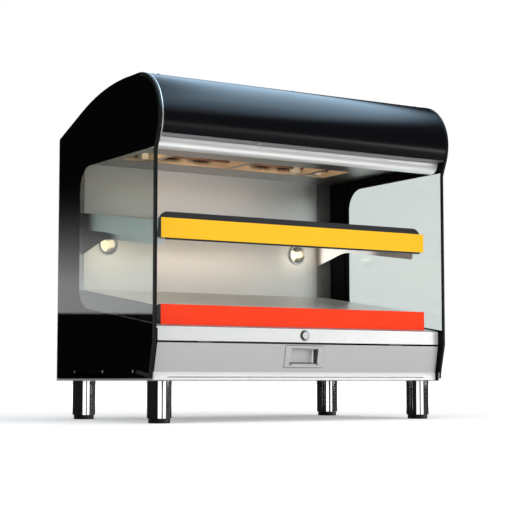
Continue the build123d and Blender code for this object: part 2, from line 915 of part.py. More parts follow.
# Drop-down access door: one folded sheet with a vent slot, a recess for the pull and two cheeks
door_line = [
    (door_toe_depth, door_toe_height),
    (door_toe_depth, kick_height),
    (door_head_depth, door_head_height),
    (door_head_depth + door_flange, door_head_height),
    (door_head_depth + door_flange, door_head_height - door_lip),
]
door_lean = atan2(door_toe_depth - door_head_depth, door_head_height - kick_height)
pull_along = (pull_centre - kick_height) * tan(door_lean)
door_face = Plane(
    origin=at(0, door_toe_depth - pull_along, pull_centre),
    x_dir=(1, 0, 0),
    z_dir=(0, -cos(door_lean), -sin(door_lean)),
)
cup_width = pocket_width + 2 * pull_sheet
cup_height = pocket_height + 2 * pull_sheet
cam_drop = lock_height - door_head_height
cam_slot_low = -cam_width / 2 - cam_slot_clear
cam_slot_high = sqrt(hypot(cam_length, cam_width / 2) ** 2 - cam_drop**2) + cam_slot_clear
cam_slot_front = cam_depth - cam_slot_clear
cam_slot_rear = cam_depth + cam_thick + cam_slot_clear

with BuildPart() as access_door:
    with BuildSketch(side):
        make_face(folded(door_line, sheet))
    extrude(amount=door_half, both=True)
    for hand, word in hands:
        with BuildSketch(side.offset(hand * door_half)):
            with BuildLine():
                Polyline(
                    (door_toe_depth + sheet / 2, door_toe_height),
                    (door_toe_depth + sheet / 2, kick_height),
                    (door_head_depth + sheet, door_head_height - sheet / 2),
                    (door_head_depth + door_cheek_head, door_head_height - sheet / 2),
                    (door_toe_depth + door_cheek_mid, kick_height),
                    (door_toe_depth + door_cheek_foot, door_toe_height),
                    close=True,
                )
            make_face()
        extrude(amount=-hand * sheet)
    with BuildSketch(side):
        with Locations((pivot_depth, pivot_height)):
            Circle(pivot_radius + run_clear)
    extrude(amount=door_half, both=True, mode=Mode.SUBTRACT)
    with BuildSketch(facing(door_toe_depth)):
        with Locations((0, vent_slot_height)):
            SlotOverall(2 * (door_half - vent_slot_margin), vent_slot)
    extrude(amount=-sheet, mode=Mode.SUBTRACT)
    with BuildSketch(door_face):
        Rectangle(cup_width + 2 * pull_gap, cup_height + 2 * pull_gap)
    extrude(amount=-2 * sheet, mode=Mode.SUBTRACT)
    with BuildSketch(level(door_head_height)):
        with Locations(((cam_slot_low + cam_slot_high) / 2, (cam_slot_front + cam_slot_rear) / 2)):
            Rectangle(cam_slot_high - cam_slot_low, cam_slot_rear - cam_slot_front)
    extrude(amount=-sheet, mode=Mode.SUBTRACT)
save(access_door.part, "access_door")

with BuildPart() as door_pull:
    with BuildSketch(door_face):
        RectangleRounded(pull_width, pull_height, pull_corner)
    extrude(amount=pull_sheet)
    with BuildSketch(door_face):
        Rectangle(cup_width, cup_height)
    extrude(amount=-pocket_depth - pull_sheet)
    with BuildSketch(door_face.offset(pull_sheet)):
        Rectangle(pocket_width, pocket_height)
    extrude(amount=-pocket_depth - pull_sheet, mode=Mode.SUBTRACT)
    with BuildSketch(door_face):
        with Locations((-pocket_width / 2, -pocket_height / 2), (pocket_width / 2, -pocket_height / 2)):
            Circle(relief_radius)
    extrude(amount=pull_sheet, mode=Mode.SUBTRACT)
save(door_pull.part, "door_pull")

with BuildPart() as door_pivots:
    for hand, word in hands:
        with BuildSketch(side.offset(hand * shell_half)):
            with Locations((pivot_depth, pivot_height)):
                Circle(pivot_radius)
        extrude(amount=-hand * (shell_half - door_half + 2 * sheet))
save(door_pivots.part, "door_pivots")

with BuildPart() as catch_magnets:
    with BuildSketch(level(bar_foot)):
        with Locations((-catch_x, bar_depth + bar_lip / 2), (catch_x, bar_depth + bar_lip / 2)):
            Rectangle(catch_length, catch_width)
    extrude(amount=-catch_thick)
save(catch_magnets.part, "catch_magnets")

# Control panel behind the door, with thermostats, knobs and rocker switches
panel_spots = [(x, control_height) for x in knob_x]
switch_spots = [(x, control_height) for x in switch_x]
panel_back = panel_depth + sheet
with BuildPart() as control_panel:
    with BuildSketch(side.offset(panel_left)):
        panel_line = [
            (panel_depth, panel_top),
            (panel_depth, pan_floor),
            (panel_depth + panel_foot, pan_floor),
        ]
        make_face(folded(panel_line, sheet, Side.LEFT))
    extrude(amount=panel_right - panel_left)
    with BuildSketch(facing(panel_depth)):
        with Locations(*panel_spots):
            Circle(shaft_radius + run_clear)
        with Locations(*switch_spots):
            Rectangle(switch_width, switch_tall)
    extrude(amount=-sheet, mode=Mode.SUBTRACT)
save(control_panel.part, "control_panel")

with BuildPart() as thermostats:
    with BuildSketch(facing(panel_back)):
        with Locations(*panel_spots):
            RectangleRounded(thermostat_size, thermostat_size, sheet)
            Circle(shaft_radius + run_clear, mode=Mode.SUBTRACT)
    extrude(amount=-thermostat_length)
save(thermostats.part, "thermostats")

for x, name in zip(knob_x, knob_names):
    with BuildPart() as heat_knob:
        with BuildSketch(facing(panel_depth - seam)):
            with Locations((x, control_height)):
                Circle(knob_radius)
        extrude(amount=knob_skirt)
        chamfer(heat_knob.faces().sort_by(Axis.Y)[0].edges(), knob_chamfer)
        with BuildSketch(facing(panel_depth - seam - knob_skirt)):
            with Locations((x, control_height)):
                RectangleRounded(knob_grip_width, 2 * (knob_radius - knob_grip_margin), knob_grip_round)
        extrude(amount=knob_grip)
        with BuildSketch(facing(panel_depth - seam)):
            with Locations((x, control_height)):
                Circle(shaft_radius)
        extrude(amount=-shaft_length)
    heat_knob.part.label = name
    export_step(heat_knob.part, f"parts/{name}.step")

rocker_pivot = panel_depth + rocker_pivot_back
with BuildPart() as switch_bodies:
    with BuildSketch(facing(panel_depth)):
        with Locations(*switch_spots):
            RectangleRounded(bezel_width, bezel_tall, sheet)
    extrude(amount=bezel_thick)
    with BuildSketch(facing(panel_depth)):
        with Locations(*switch_spots):
            Rectangle(switch_width, switch_tall)
    extrude(amount=-switch_length)
    with BuildSketch(facing(panel_depth - bezel_thick)):
        with Locations(*switch_spots):
            Rectangle(switch_cavity_width, switch_cavity_tall)
    extrude(amount=-switch_cavity_depth - bezel_thick, mode=Mode.SUBTRACT)
    for x in switch_x:
        with BuildSketch(side.offset(x)):
            with Locations((rocker_pivot, control_height)):
                Circle(axle_radius + run_clear)
        extrude(amount=axle_reach + run_clear, both=True, mode=Mode.SUBTRACT)
save(switch_bodies.part, "switch_bodies")

rocker_half = rocker_tall / 2
rocker_lean = radians(rocker_tilt)
rocker_side = Plane(
    origin=at(0, rocker_pivot, control_height),
    x_dir=(0, cos(rocker_lean), -sin(rocker_lean)),
    z_dir=(1, 0, 0),
)
for x, name in zip(switch_x, switch_names):
    with BuildPart() as rocker:
        with BuildSketch(rocker_side.offset(x)):
            with BuildLine():
                Polyline(
                    (-rocker_crest, rocker_half),
                    (-rocker_crest + rocker_dip, 0),
                    (-rocker_crest, -rocker_half),
                    (-rocker_back, -rocker_half),
                    (rocker_back, -rocker_back),
                    (rocker_back, rocker_back),
                    (-rocker_back, rocker_half),
                    close=True,
                )
            make_face()
        extrude(amount=rocker_width / 2, both=True)
        with BuildSketch(rocker_side.offset(x)):
            Circle(axle_radius)
        extrude(amount=axle_reach, both=True)
    rocker.part.label = name
    export_step(rocker.part, f"parts/{name}.step")

# Supply terminals and the wiring in the base
with BuildPart() as terminal_block:
    with BuildSketch(level(pan_floor)):
        with Locations((block_x, block_back - block_length / 2)):
            Rectangle(block_width, block_length)
    extrude(amount=block_height)
    with BuildSketch(level(pan_floor + block_height)):
        with Locations((block_x, block_back - block_length / 2)):
            with GridLocations(block_pitch, block_length / 2, block_poles, 2):
                Circle(screw_radius)
    extrude(amount=-block_height / 2, mode=Mode.SUBTRACT)
save(terminal_block.part, "terminal_block")

block_front = block_back - block_length
wire_height = pan_floor + block_height / 2
gland_inside = cover_depth - sheet - gland_nut_thick
wire_turn = (block_back + gland_inside) / 2
switch_back = panel_depth + switch_length
wire_rise = switch_back + harness_run
harness_routes = [
    [
        at(gland_x, gland_inside, gland_height),
        at(gland_x, wire_turn, gland_height),
        at(gland_x, wire_turn, wire_height),
        at(gland_x, block_back, wire_height),
    ],
    [
        at(switch_x[0], block_front, wire_height),
        at(switch_x[0], wire_rise, wire_height),
        at(switch_x[0], wire_rise, control_height),
        at(switch_x[0], switch_back, control_height),
    ],
]
with BuildPart() as wiring_harness:
    for route in harness_routes:
        with BuildLine() as wire_path:
            FilletPolyline(*route, radius=harness_bend)
        with BuildSketch(Plane(origin=route[0], z_dir=(0, -1, 0))):
            Circle(harness_radius)
        sweep(path=wire_path.wire())
save(wiring_harness.part, "wiring_harness")

# Warm shelves: an upturned steel tray, a bottom plate, a heating mat and insulation
shelf_heights = (upper_shelf_height, lower_shelf_height)
tray_names = ("upper_shelf", "lower_shelf")
tray_inside = shelf_half - sheet
for height, name in zip(shelf_heights, tray_names):
    with BuildPart() as shelf_tray:
        with BuildSketch(shelf_plane(height)):
            with Locations((shelf_length / 2, -shelf_thick / 2)):
                Rectangle(shelf_length, shelf_thick)
        extrude(amount=shelf_half, both=True)
        with BuildSketch(shelf_plane(height)):
            with Locations((shelf_length / 2, -sheet - shelf_thick / 2)):
                Rectangle(shelf_length - 2 * sheet, shelf_thick)
        extrude(amount=tray_inside, both=True, mode=Mode.SUBTRACT)
    shelf_tray.part.label = name
    export_step(shelf_tray.part, f"parts/{name}.step")

with BuildPart() as shelf_base_plates:
    for height in shelf_heights:
        with BuildSketch(shelf_plane(height)):
            with Locations((shelf_length / 2, sheet / 2 - shelf_thick)):
                Rectangle(shelf_length - 2 * sheet, sheet)
        extrude(amount=tray_inside, both=True)
save(shelf_base_plates.part, "shelf_base_plates")

with BuildPart() as shelf_heating_mats:
    for height in shelf_heights:
        with BuildSketch(shelf_plane(height)):
            with Locations((shelf_length / 2, -sheet - mat_thick / 2)):
                Rectangle(shelf_length - 2 * mat_margin, mat_thick)
        extrude(amount=shelf_half - mat_margin, both=True)
save(shelf_heating_mats.part, "shelf_heating_mats")

insulation_tall = shelf_thick - 2 * sheet - mat_thick
with BuildPart() as shelf_insulation:
    for height in shelf_heights:
        with BuildSketch(shelf_plane(height)):
            with Locations((shelf_length / 2, -sheet - mat_thick - insulation_tall / 2)):
                Rectangle(shelf_length - 2 * sheet, insulation_tall)
        extrude(amount=tray_inside, both=True)
save(shelf_insulation.part, "shelf_insulation")

# Brackets that hang the upper shelf from slots in the rear posts
arm_top = -shelf_thick
arm_foot = arm_top - arm_depth
arm_end = shelf_length - arm_depth * tan(tilt)
arm_plane = shelf_plane(upper_shelf_height)


def under_shelf(depth, drop):
    """Height of a line below the upper shelf, its drop taken square to the slope"""
    return upper_shelf_height - drop / cos(tilt) + (depth - shelf_front) * tan(tilt)


with BuildPart() as shelf_brackets:
    with BuildSketch(arm_plane.offset(shelf_half - arm_width)):
        with BuildLine():
            Polyline(
                (arm_setback, arm_top),
                (arm_end, arm_top),
                (arm_end, arm_foot),
                (arm_setback + arm_nose_cut, arm_foot),
                (arm_setback, arm_foot + arm_nose_cut),
                close=True,
            )
        make_face()
    extrude(amount=arm_wall)
    with BuildSketch(arm_plane.offset(shelf_half - arm_width)):
        with Locations(((arm_end + arm_setback) / 2, arm_top - arm_wall / 2)):
            Rectangle(arm_end - arm_setback, arm_wall)
    extrude(amount=arm_width)
    with BuildSketch(side.offset(gusset_x - gusset_thick / 2)):
        gusset_rear = wall_depth - slot_clear / 2
        gusset_front = wall_depth - gusset_length
        gusset_drop = shelf_thick + arm_depth
        bow_end = (wall_depth - gusset_bow_length, gusset_bow_height)
        with BuildLine():
            edge = Line(
                (gusset_rear, gusset_drop_height),
                (gusset_rear, under_shelf(gusset_rear, shelf_thick + arm_wall)),
            )
            top = Line(edge @ 1, (gusset_front, under_shelf(gusset_front, shelf_thick + arm_wall)))
            nose = Line(top @ 1, (gusset_front, under_shelf(gusset_front, gusset_drop)))
            TangentArc(nose @ 1, bow_end, tangent=(cos(tilt), sin(tilt)))
            Line(bow_end, edge @ 0)
        make_face()
        for height in hook_heights:
            with Locations((gusset_rear + hook_depth / 2, height)):
                Rectangle(hook_depth, hook_height)
    extrude(amount=gusset_thick)
    mirror(about=Plane.YZ)
save(shelf_brackets.part, "shelf_brackets")

# Sign strips, each on a black holder against its shelf's front
holder_face = strip_face + strip_thick
strip_feet = (upper_strip_foot, deck_height(holder_face) + strip_clear)
for foot, height, rise, word in zip(strip_feet, shelf_heights, (guard_rise, 0), ("upper", "lower")):
    top = foot + strip_height
    top_rear = shelf_front - (top - height) * tan(tilt)
    foot_rise = (shelf_front - holder_face) * tan(tilt)
    lean_run = (height - foot - foot_rise) * sin(tilt) * cos(tilt)
    with BuildPart() as sign_holder:
        with BuildSketch(side):
            with BuildLine():
                Polyline(
                    (holder_face, foot),
                    (holder_face, top),
                    (top_rear, top),
                    (shelf_front + lean_run, foot + foot_rise + lean_run * tan(tilt)),
                    close=True,
                )
            make_face()
        extrude(amount=shelf_half, both=True)
        if rise:
            with BuildSketch(facing(top_rear - guard_thick)):
                with BuildLine():
                    guard_top = top + rise
                    Polyline(
                        (-shelf_half, top - guard_corner),
                        (-shelf_half, guard_top - guard_corner),
                    )
                    JernArc((-shelf_half, guard_top - guard_corner), (0, 1), guard_corner, -90)
                    Line((-shelf_half + guard_corner, guard_top), (shelf_half - guard_corner, guard_top))
                    JernArc((shelf_half - guard_corner, guard_top), (1, 0), guard_corner, -90)
                    Polyline(
                        (shelf_half, guard_top - guard_corner),
                        (shelf_half, top - guard_corner),
                        (-shelf_half, top - guard_corner),
                    )
                make_face()
            extrude(amount=-guard_thick)
            with BuildSketch(facing(holder_face)):
                with Locations((0, foot)):
                    Rectangle(2 * (shelf_half - holder_lip_inset), 2 * holder_lip_drop)
            extrude(amount=-holder_lip_thick)
    sign_holder.part.label = f"{word}_sign_holder"
    export_step(sign_holder.part, f"parts/{word}_sign_holder.step")

    with BuildPart() as sign_strip:
        with BuildSketch(facing(holder_face)):
            with Locations((0, foot + strip_height / 2)):
                Rectangle(2 * shelf_half, strip_height)
        extrude(amount=strip_thick)
    sign_strip.part.label = f"{word}_sign_strip"
    export_step(sign_strip.part, f"parts/{word}_sign_strip.step")

# Legs: chrome tubes, plugs in their ends, bolts from the base pan and levelling feet
tube_foot = foot_height + leg_gap
with BuildPart() as leg_tubes:
    with BuildSketch(level(tube_foot)):
        with Locations(*leg_spots):
            Circle(leg_radius)
            Circle(leg_radius - leg_wall, mode=Mode.SUBTRACT)
    extrude(amount=foot_clearance - tube_foot)
save(leg_tubes.part, "leg_tubes")

with BuildPart() as leg_plugs:
    with BuildSketch(level(tube_foot)):
        with Locations(*leg_spots):
            Circle(leg_radius - leg_wall)
            Circle(stem_radius + run_clear, mode=Mode.SUBTRACT)
    extrude(amount=leg_plug_length)
    with BuildSketch(level(foot_clearance - leg_cap_length)):
        with Locations(*leg_spots):
            Circle(leg_radius - leg_wall)
            Circle(bolt_radius, mode=Mode.SUBTRACT)
    extrude(amount=leg_cap_length)
save(leg_plugs.part, "leg_plugs")

with BuildPart() as leg_bolts:
    with BuildSketch(level(foot_clearance - leg_cap_length)):
        with Locations(*leg_spots):
            Circle(bolt_radius)
    extrude(amount=leg_cap_length + sheet)
    with BuildSketch(level(pan_floor)):
        with Locations(*leg_spots):
            RegularPolygon(bolt_head_radius, nut_side_count)
    extrude(amount=bolt_head)
save(leg_bolts.part, "leg_bolts")

foot_words = ("front_left", "rear_left", "front_right", "rear_right")
for spot, word in zip(leg_spots, foot_words):
    with BuildPart() as levelling_foot:
        with BuildSketch(level(0)):
            with Locations(spot):
                Circle(foot_radius)
        extrude(amount=foot_height)
        fillet(levelling_foot.edges(), foot_edge)
        with BuildSketch(level(foot_height)):
            with Locations(spot):
                Circle(stem_radius)
        extrude(amount=stem_length)
    levelling_foot.part.label = f"foot_{word}"
    export_step(levelling_foot.part, f"parts/foot_{word}.step")
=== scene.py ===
# %% [markdown]
# # Dressing a heated shelf merchandiser
# The CAD model already gives each piece its true size and place. This lesson turns that bare frame into
# a finished cabinet: it softens edges, adds the small details that a solid leaves out, and gives every
# surface a material with grain, wear or stain of its own; some also carry painted light and shade.

# %% Load the CAD frame
import json
from math import atan2, cos, degrees, pi, radians, sin

import bpy
from mathutils import Matrix, Vector

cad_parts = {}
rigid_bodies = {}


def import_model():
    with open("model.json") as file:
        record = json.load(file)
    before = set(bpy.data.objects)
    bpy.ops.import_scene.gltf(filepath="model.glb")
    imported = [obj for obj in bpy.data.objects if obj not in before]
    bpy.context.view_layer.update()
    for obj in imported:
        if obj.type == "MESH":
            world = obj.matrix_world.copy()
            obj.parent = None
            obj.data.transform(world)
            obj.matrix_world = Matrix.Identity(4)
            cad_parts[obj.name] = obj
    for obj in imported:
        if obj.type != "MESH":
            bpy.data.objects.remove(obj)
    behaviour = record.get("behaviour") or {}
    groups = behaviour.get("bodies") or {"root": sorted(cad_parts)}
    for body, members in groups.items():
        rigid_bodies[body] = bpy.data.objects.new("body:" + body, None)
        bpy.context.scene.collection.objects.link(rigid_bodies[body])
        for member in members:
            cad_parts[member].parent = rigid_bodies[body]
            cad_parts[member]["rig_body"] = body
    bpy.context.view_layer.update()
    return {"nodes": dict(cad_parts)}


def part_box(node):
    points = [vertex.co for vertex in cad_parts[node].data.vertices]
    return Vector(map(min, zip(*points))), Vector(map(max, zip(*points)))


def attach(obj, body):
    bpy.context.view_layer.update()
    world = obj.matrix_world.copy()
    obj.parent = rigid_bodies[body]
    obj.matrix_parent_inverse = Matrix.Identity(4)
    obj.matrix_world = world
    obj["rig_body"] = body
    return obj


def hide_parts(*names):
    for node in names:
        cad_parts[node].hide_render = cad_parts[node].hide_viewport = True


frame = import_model()
nodes = frame["nodes"]
scene = bpy.context.scene
scene.view_settings.view_transform = "Standard"
bpy.ops.object.select_all(action="DESELECT")

# %% [markdown]
# ## The camera
# The photograph was taken from the front left, barely above the counter. The camera was solved from edges
# that are parallel on such a cabinet, so its place, turn and lens are numbers and not a guess by eye.

# %% Place the camera
MILLIMETRE = 0.001
CAMERA_PLACE = (-2.0835, -3.411, 0.1067)
CAMERA_PITCH = 94.987
CAMERA_TURN = -31.618
CAMERA_LENS = 100.23
SENSOR_WIDTH = 36

bpy.ops.object.camera_add(
    location=CAMERA_PLACE, rotation=(radians(CAMERA_PITCH), 0, radians(CAMERA_TURN))
)
camera = bpy.context.object
camera.name = "counter_view"
camera.data.lens = CAMERA_LENS
camera.data.sensor_width = SENSOR_WIDTH
scene.camera = camera
print("camera", camera.name, CAMERA_LENS, "mm")

# %% [markdown]
# ## Shader maths as Python
# A material with real detail needs many small sums: masks, thresholds, mixes. Wiring each Math node by
# hand hides the idea, so a small class wraps a socket and lets ordinary Python signs add the nodes. The
# second class makes a node tree and any other node in one call.

# %% Wrap sockets and node trees


class Signal:
    """A number or colour that flows through a node tree"""

    def __init__(self, tree, socket):
        self.tree = tree
        self.socket = socket

    def maths(self, operation, first, second):
        return self.tree.node("ShaderNodeMath", {"operation": operation}, {0: first, 1: second})

    def __add__(self, other):
        return self.maths("ADD", self, other)

    def __radd__(self, other):
        return self.maths("ADD", other, self)

    def __sub__(self, other):
        return self.maths("SUBTRACT", self, other)

    def __rsub__(self, other):
        return self.maths("SUBTRACT", other, self)

    def __mul__(self, other):
        return self.maths("MULTIPLY", self, other)

    def __rmul__(self, other):
        return self.maths("MULTIPLY", other, self)

    def __truediv__(self, other):
        return self.maths("DIVIDE", self, other)

    def larger(self, other):
        return self.maths("MAXIMUM", self, other)

    def smaller(self, other):
        return self.maths("MINIMUM", self, other)

    def size(self):
        return self.maths("ABSOLUTE", self, 0)

    def above(self, low, high):
        """Goes smoothly from 0 to 1 as the value passes from low to high"""
        return self.tree.node(
            "ShaderNodeMapRange",
            {"interpolation_type": "SMOOTHSTEP"},
            {"Value": self, "From Min": low, "From Max": high},
        )

    def within(self, low, high, soft):
        """1 between two values, with soft shoulders"""
        return self.above(low - soft, low + soft) * (1 - self.above(high - soft, high + soft))

    def parts(self):
        split = self.tree.tree.nodes.new("ShaderNodeSeparateXYZ")
        self.tree.tree.links.new(self.socket, split.inputs[0])
        return [Signal(self.tree, out) for out in split.outputs]


class Tree:
    """Adds nodes to a material or a world, settings first and then values or links"""

    def __init__(self, tree):
        self.tree = tree
        self.tree.nodes.clear()

    def node(self, kind, settings=None, inputs=None, output=0):
        made = self.tree.nodes.new(kind)
        for name, value in (settings or {}).items():
            if name == "stops":
                self.set_stops(made.color_ramp, value)
            else:
                setattr(made, name, value)
        for name, value in (inputs or {}).items():
            if isinstance(value, Signal):
                self.tree.links.new(value.socket, made.inputs[name])
            else:
                made.inputs[name].default_value = value
        return Signal(self, made.outputs[output]) if made.outputs else None

    def set_stops(self, ramp, stops):
        while len(ramp.elements) < len(stops):
            ramp.elements.new(1)
        for element, (place, colour) in zip(ramp.elements, stops):
            element.position = place
            element.color = (*colour, 1)

    def object_place(self, scale=(1, 1, 1), turn=(0, 0, 0)):
        """Object coordinates, in metres on the cabinet, stretched as the pattern needs"""
        place = self.node("ShaderNodeTexCoord", output=3)
        return self.node("ShaderNodeMapping", None, {"Vector": place, "Scale": scale, "Rotation": turn})

    def noise(self, place, scale, detail=3.0, rough=0.5, distort=0.0):
        return self.node(
            "ShaderNodeTexNoise",
            None,
            {"Vector": place, "Scale": scale, "Detail": detail, "Roughness": rough, "Distortion": distort},
        )

    def blend(self, mask, first, second):
        """Colour that goes from first to second as the mask rises"""
        return self.node("ShaderNodeMix", {"data_type": "RGBA"}, {0: mask, 6: first, 7: second}, output=2)

    def toned(self, colour, tone):
        """A colour made lighter or darker by a number that varies"""
        red, green, blue = (tone * part for part in colour)
        return self.node("ShaderNodeCombineColor", None, {0: red, 1: green, 2: blue})

    def bump(self, height, distance, strength):
        inputs = {"Height": height, "Distance": distance, "Strength": strength}
        return self.node("ShaderNodeBump", None, inputs)


class Finish(Tree):
    """A material around one Principled shader"""

    def __init__(self, name):
        self.material = bpy.data.materials.new(name)
        self.material.use_nodes = True
        super().__init__(self.material.node_tree)

    def surface(self, **inputs):
        """Sets the shader's own sockets: underscores stand for spaces"""
        named = {name.replace("_", " "): value for name, value in inputs.items()}
        shader = self.node("ShaderNodeBsdfPrincipled", None, named)
        self.show(shader)
        return shader

    def show(self, shader):
        self.node("ShaderNodeOutputMaterial", None, {"Surface": shader})


def paint(red, green, blue):
    return (red, green, blue, 1)


print("shader helpers ready")

# %% [markdown]
# ## Floor and studio
# The cabinet stands in an even white studio. The floor is one pale plane that keeps the soft shadow. What
# metal and glass mirror is set apart from what lights the cabinet: rays that bounce off a glossy surface
# meet tall light panels, dark screens and a blue sky panel, laid out by direction, as a photographer
# places panels around polished steel.

# %% Lay the floor
FLOOR_SIZE = 60

bpy.ops.mesh.primitive_plane_add(size=FLOOR_SIZE)
floor = bpy.context.object
floor.name = "studio_floor"
floor_finish = Finish("pale_floor")
floor_spot = floor_finish.node("ShaderNodeTexCoord", output=3)
away = floor_finish.node("ShaderNodeVectorMath", {"operation": "LENGTH"}, {0: floor_spot}, output=1)
floor_rays = floor_finish.node("ShaderNodeLightPath").socket.node.outputs
seen = Signal(floor_finish, floor_rays["Is Camera Ray"]).larger(
    Signal(floor_finish, floor_rays["Is Transmission Ray"])
)
floor_glow = seen * (0.25 + away.above(0.7, 3.0) * 0.6)
floor_paint = floor_finish.node("ShaderNodeBsdfDiffuse", None, {"Color": paint(0.86, 0.86, 0.86)})
floor_lift = floor_finish.node("ShaderNodeEmission", None, {"Color": paint(1, 1, 1), "Strength": floor_glow})
floor_finish.show(floor_finish.node("ShaderNodeAddShader", None, {0: floor_paint, 1: floor_lift}))
floor.data.materials.append(floor_finish.material)
floor.visible_glossy = False
print("floor", FLOOR_SIZE, "m across")

# %% [markdown]
# ## What each kind of ray meets
# The camera sees white beyond the floor, and matt surfaces gather a plain grey light. Polished surfaces meet
# a dark room instead, with pale areas set by azimuth and elevation: the floor near and far, one side wall,
# and a low haze at the left for the side glass to mirror.

# %% Wrap the studio in its world
DARK_ROOM = 0.009
LEFT_EDGE = (-112, -100)
FILL_LIGHT = paint(0.50, 0.51, 0.52)
world = bpy.data.worlds.new("studio")
scene.world = world
world.use_nodes = True
studio = Tree(world.node_tree)
east, north, up = studio.node("ShaderNodeTexCoord").parts()
azimuth = studio.node("ShaderNodeMath", {"operation": "ARCTAN2"}, {0: east, 1: 0 - north}) * (180 / pi)
elevation = studio.node("ShaderNodeMath", {"operation": "ARCSINE"}, {0: up}) * (180 / pi)
ahead = 1 - azimuth.size().above(95, 115)
near_floor = ahead * azimuth.above(-20, 5) * elevation.within(-22, -3, 3) * 0.35
white_floor = ahead * azimuth.above(-60, -10) * (1 - elevation.above(-52, -38)) * 1.25
side_wall = azimuth.within(70, 130, 10) * elevation.within(4, 35, 6) * 0.35
fading = 1 - elevation.above(2.4, 8.4)
haze = (1 - azimuth.above(*LEFT_EDGE)) * elevation.above(2.60, 2.74) * (fading * fading * 2.1).smaller(1.55)
mirrored = near_floor + white_floor + side_wall + haze + DARK_ROOM
mirrored_grey = studio.node("ShaderNodeCombineColor", None, {0: mirrored, 1: mirrored, 2: mirrored})
ray_kinds = studio.node("ShaderNodeLightPath").socket.node.outputs
from_matt = Signal(studio, ray_kinds["Is Diffuse Ray"])
through_glass = Signal(studio, ray_kinds["Is Transmission Ray"])
from_gloss = Signal(studio, ray_kinds["Is Glossy Ray"]) * (1 - through_glass)
inner_face = through_glass * (1 - from_matt)
inner_face = inner_face * (1 - azimuth.above(*LEFT_EDGE)) * elevation.above(0, 1)
plain = studio.blend(from_matt, paint(1, 1, 1), FILL_LIGHT)
surround = studio.blend(from_gloss.larger(inner_face), plain, mirrored_grey)
background = studio.node("ShaderNodeBackground", None, {"Color": surround})
studio.node("ShaderNodeOutputWorld", None, {"Surface": background})
print("studio world wrapped")

# %% [markdown]
# ## Light panels for the polished metal
# Two strips stand far out near the floor and draw the white stripes down the chrome legs. A wider, higher
# one lights the front bar. A blue panel hangs over the canopy, where the paint mirrors it as a soft sheen.
# Only glossy rays meet the panels, so they light nothing else and cast no shadow.

# %% Stand the light panels
STRIP_REACH = 5.0


def glow_finish(name, strength, colour=paint(1, 1, 1)):
    finish = Finish(name)
    finish.show(finish.node("ShaderNodeEmission", None, {"Color": colour, "Strength": strength}))
    return finish.material


def seen_in_gloss_only(sheet, material):
    sheet.data.materials.append(material)
    sheet.visible_camera = False
    sheet.visible_diffuse = False
    sheet.visible_transmission = False
    sheet.visible_shadow = False


def sweeping_glow(name, strength):
    """A panel that grows brighter to the right, as a window at one side makes it"""
    finish = Finish(name)
    to_right, to_back, height = finish.node("ShaderNodeTexCoord", output=3).parts()
    turn = finish.node("ShaderNodeMath", {"operation": "ARCTAN2"}, {0: to_right, 1: 0 - to_back}) * (180 / pi)
    swept = strength * (0.5 + turn.above(18, 62) * 5.4)
    finish.show(finish.node("ShaderNodeEmission", None, {"Strength": swept}))
    return finish.material


def strip_panel(name, first, last, low, high, material):
    """Upright curved panel between two azimuths, counted in degrees from straight ahead to the right"""
    bpy.ops.mesh.primitive_cylinder_add(
        vertices=180,
        radius=STRIP_REACH,
        depth=high - low,
        end_fill_type="NOTHING",
        location=(0, 0, (low + high) / 2),
    )
    strip = bpy.context.object
    strip.name = name
    bpy.ops.object.mode_set(mode="EDIT")
    bpy.ops.mesh.select_all(action="DESELECT")
    bpy.ops.object.mode_set(mode="OBJECT")
    for face in strip.data.polygons:
        turn = degrees(atan2(face.center.x, -face.center.y))
        face.select = not first < turn < last
    bpy.ops.object.mode_set(mode="EDIT")
    bpy.ops.mesh.delete(type="FACE")
    bpy.ops.object.mode_set(mode="OBJECT")
    bpy.ops.object.transform_apply()
    seen_in_gloss_only(strip, material)


leg_glow = glow_finish("leg_strip_glow", 1.5)
strip_panel("left_leg_strip", -43, -11, -0.16, 0.12, leg_glow)
strip_panel("right_leg_strip", 2, 31, -0.16, 0.12, leg_glow)
strip_panel("front_bar_strip", 0, 75, 0.16, 0.52, sweeping_glow("bar_strip_glow", 1.3))
print("strips stand", STRIP_REACH, "m out")

# %% [markdown]
# ## A sky for the canopy
# The canopy's gloss shows a blue sheen that fades at both ends. A panel overhead carries it as a ramp of
# colours from front to back, and soft limits keep it to the right.

# %% Hang the blue panel over the canopy
SKY_HEIGHT = 1.87
SKY_LENGTH = 6.0
SKY_STOPS = [
    (0.00, (0.0, 0.0, 0.0)),
    (0.16, (0.50, 0.54, 0.57)),
    (0.30, (0.97, 1.31, 1.60)),
    (0.45, (2.7, 3.9, 4.9)),
    (0.52, (4.2, 6.0, 7.6)),
    (0.60, (4.1, 5.9, 7.5)),
    (0.72, (2.3, 3.3, 4.3)),
    (0.88, (0.68, 0.95, 1.2)),
    (1.00, (0.3, 0.4, 0.5)),
]
SKY_FRONT = -3.9

bpy.ops.mesh.primitive_plane_add(size=SKY_LENGTH, location=(0.7, SKY_FRONT + SKY_LENGTH / 2, SKY_HEIGHT))
sky = bpy.context.object
sky.name = "sky_panel"
bpy.ops.object.transform_apply()
sky_finish = Finish("sky_glow")
sky_east, sky_north, sky_up = sky_finish.node("ShaderNodeTexCoord", output=3).parts()
along_sky = (sky_north - SKY_FRONT) / SKY_LENGTH
sky_tone = sky_finish.node("ShaderNodeValToRGB", {"stops": SKY_STOPS}, {"Fac": along_sky})
sky_edges = sky_east.above(-0.10, 0.40) * (1 - sky_east.above(0.95, 1.35))
sky_finish.show(sky_finish.node("ShaderNodeEmission", None, {"Color": sky_tone, "Strength": sky_edges}))
seen_in_gloss_only(sky, sky_finish.material)
print("sky panel hangs at", SKY_HEIGHT, "m")

# %% [markdown]
# ## Lamps
# Three wide soft lamps light the cabinet from the front, the left and above, without being seen in it.

# %% Place the studio lamps


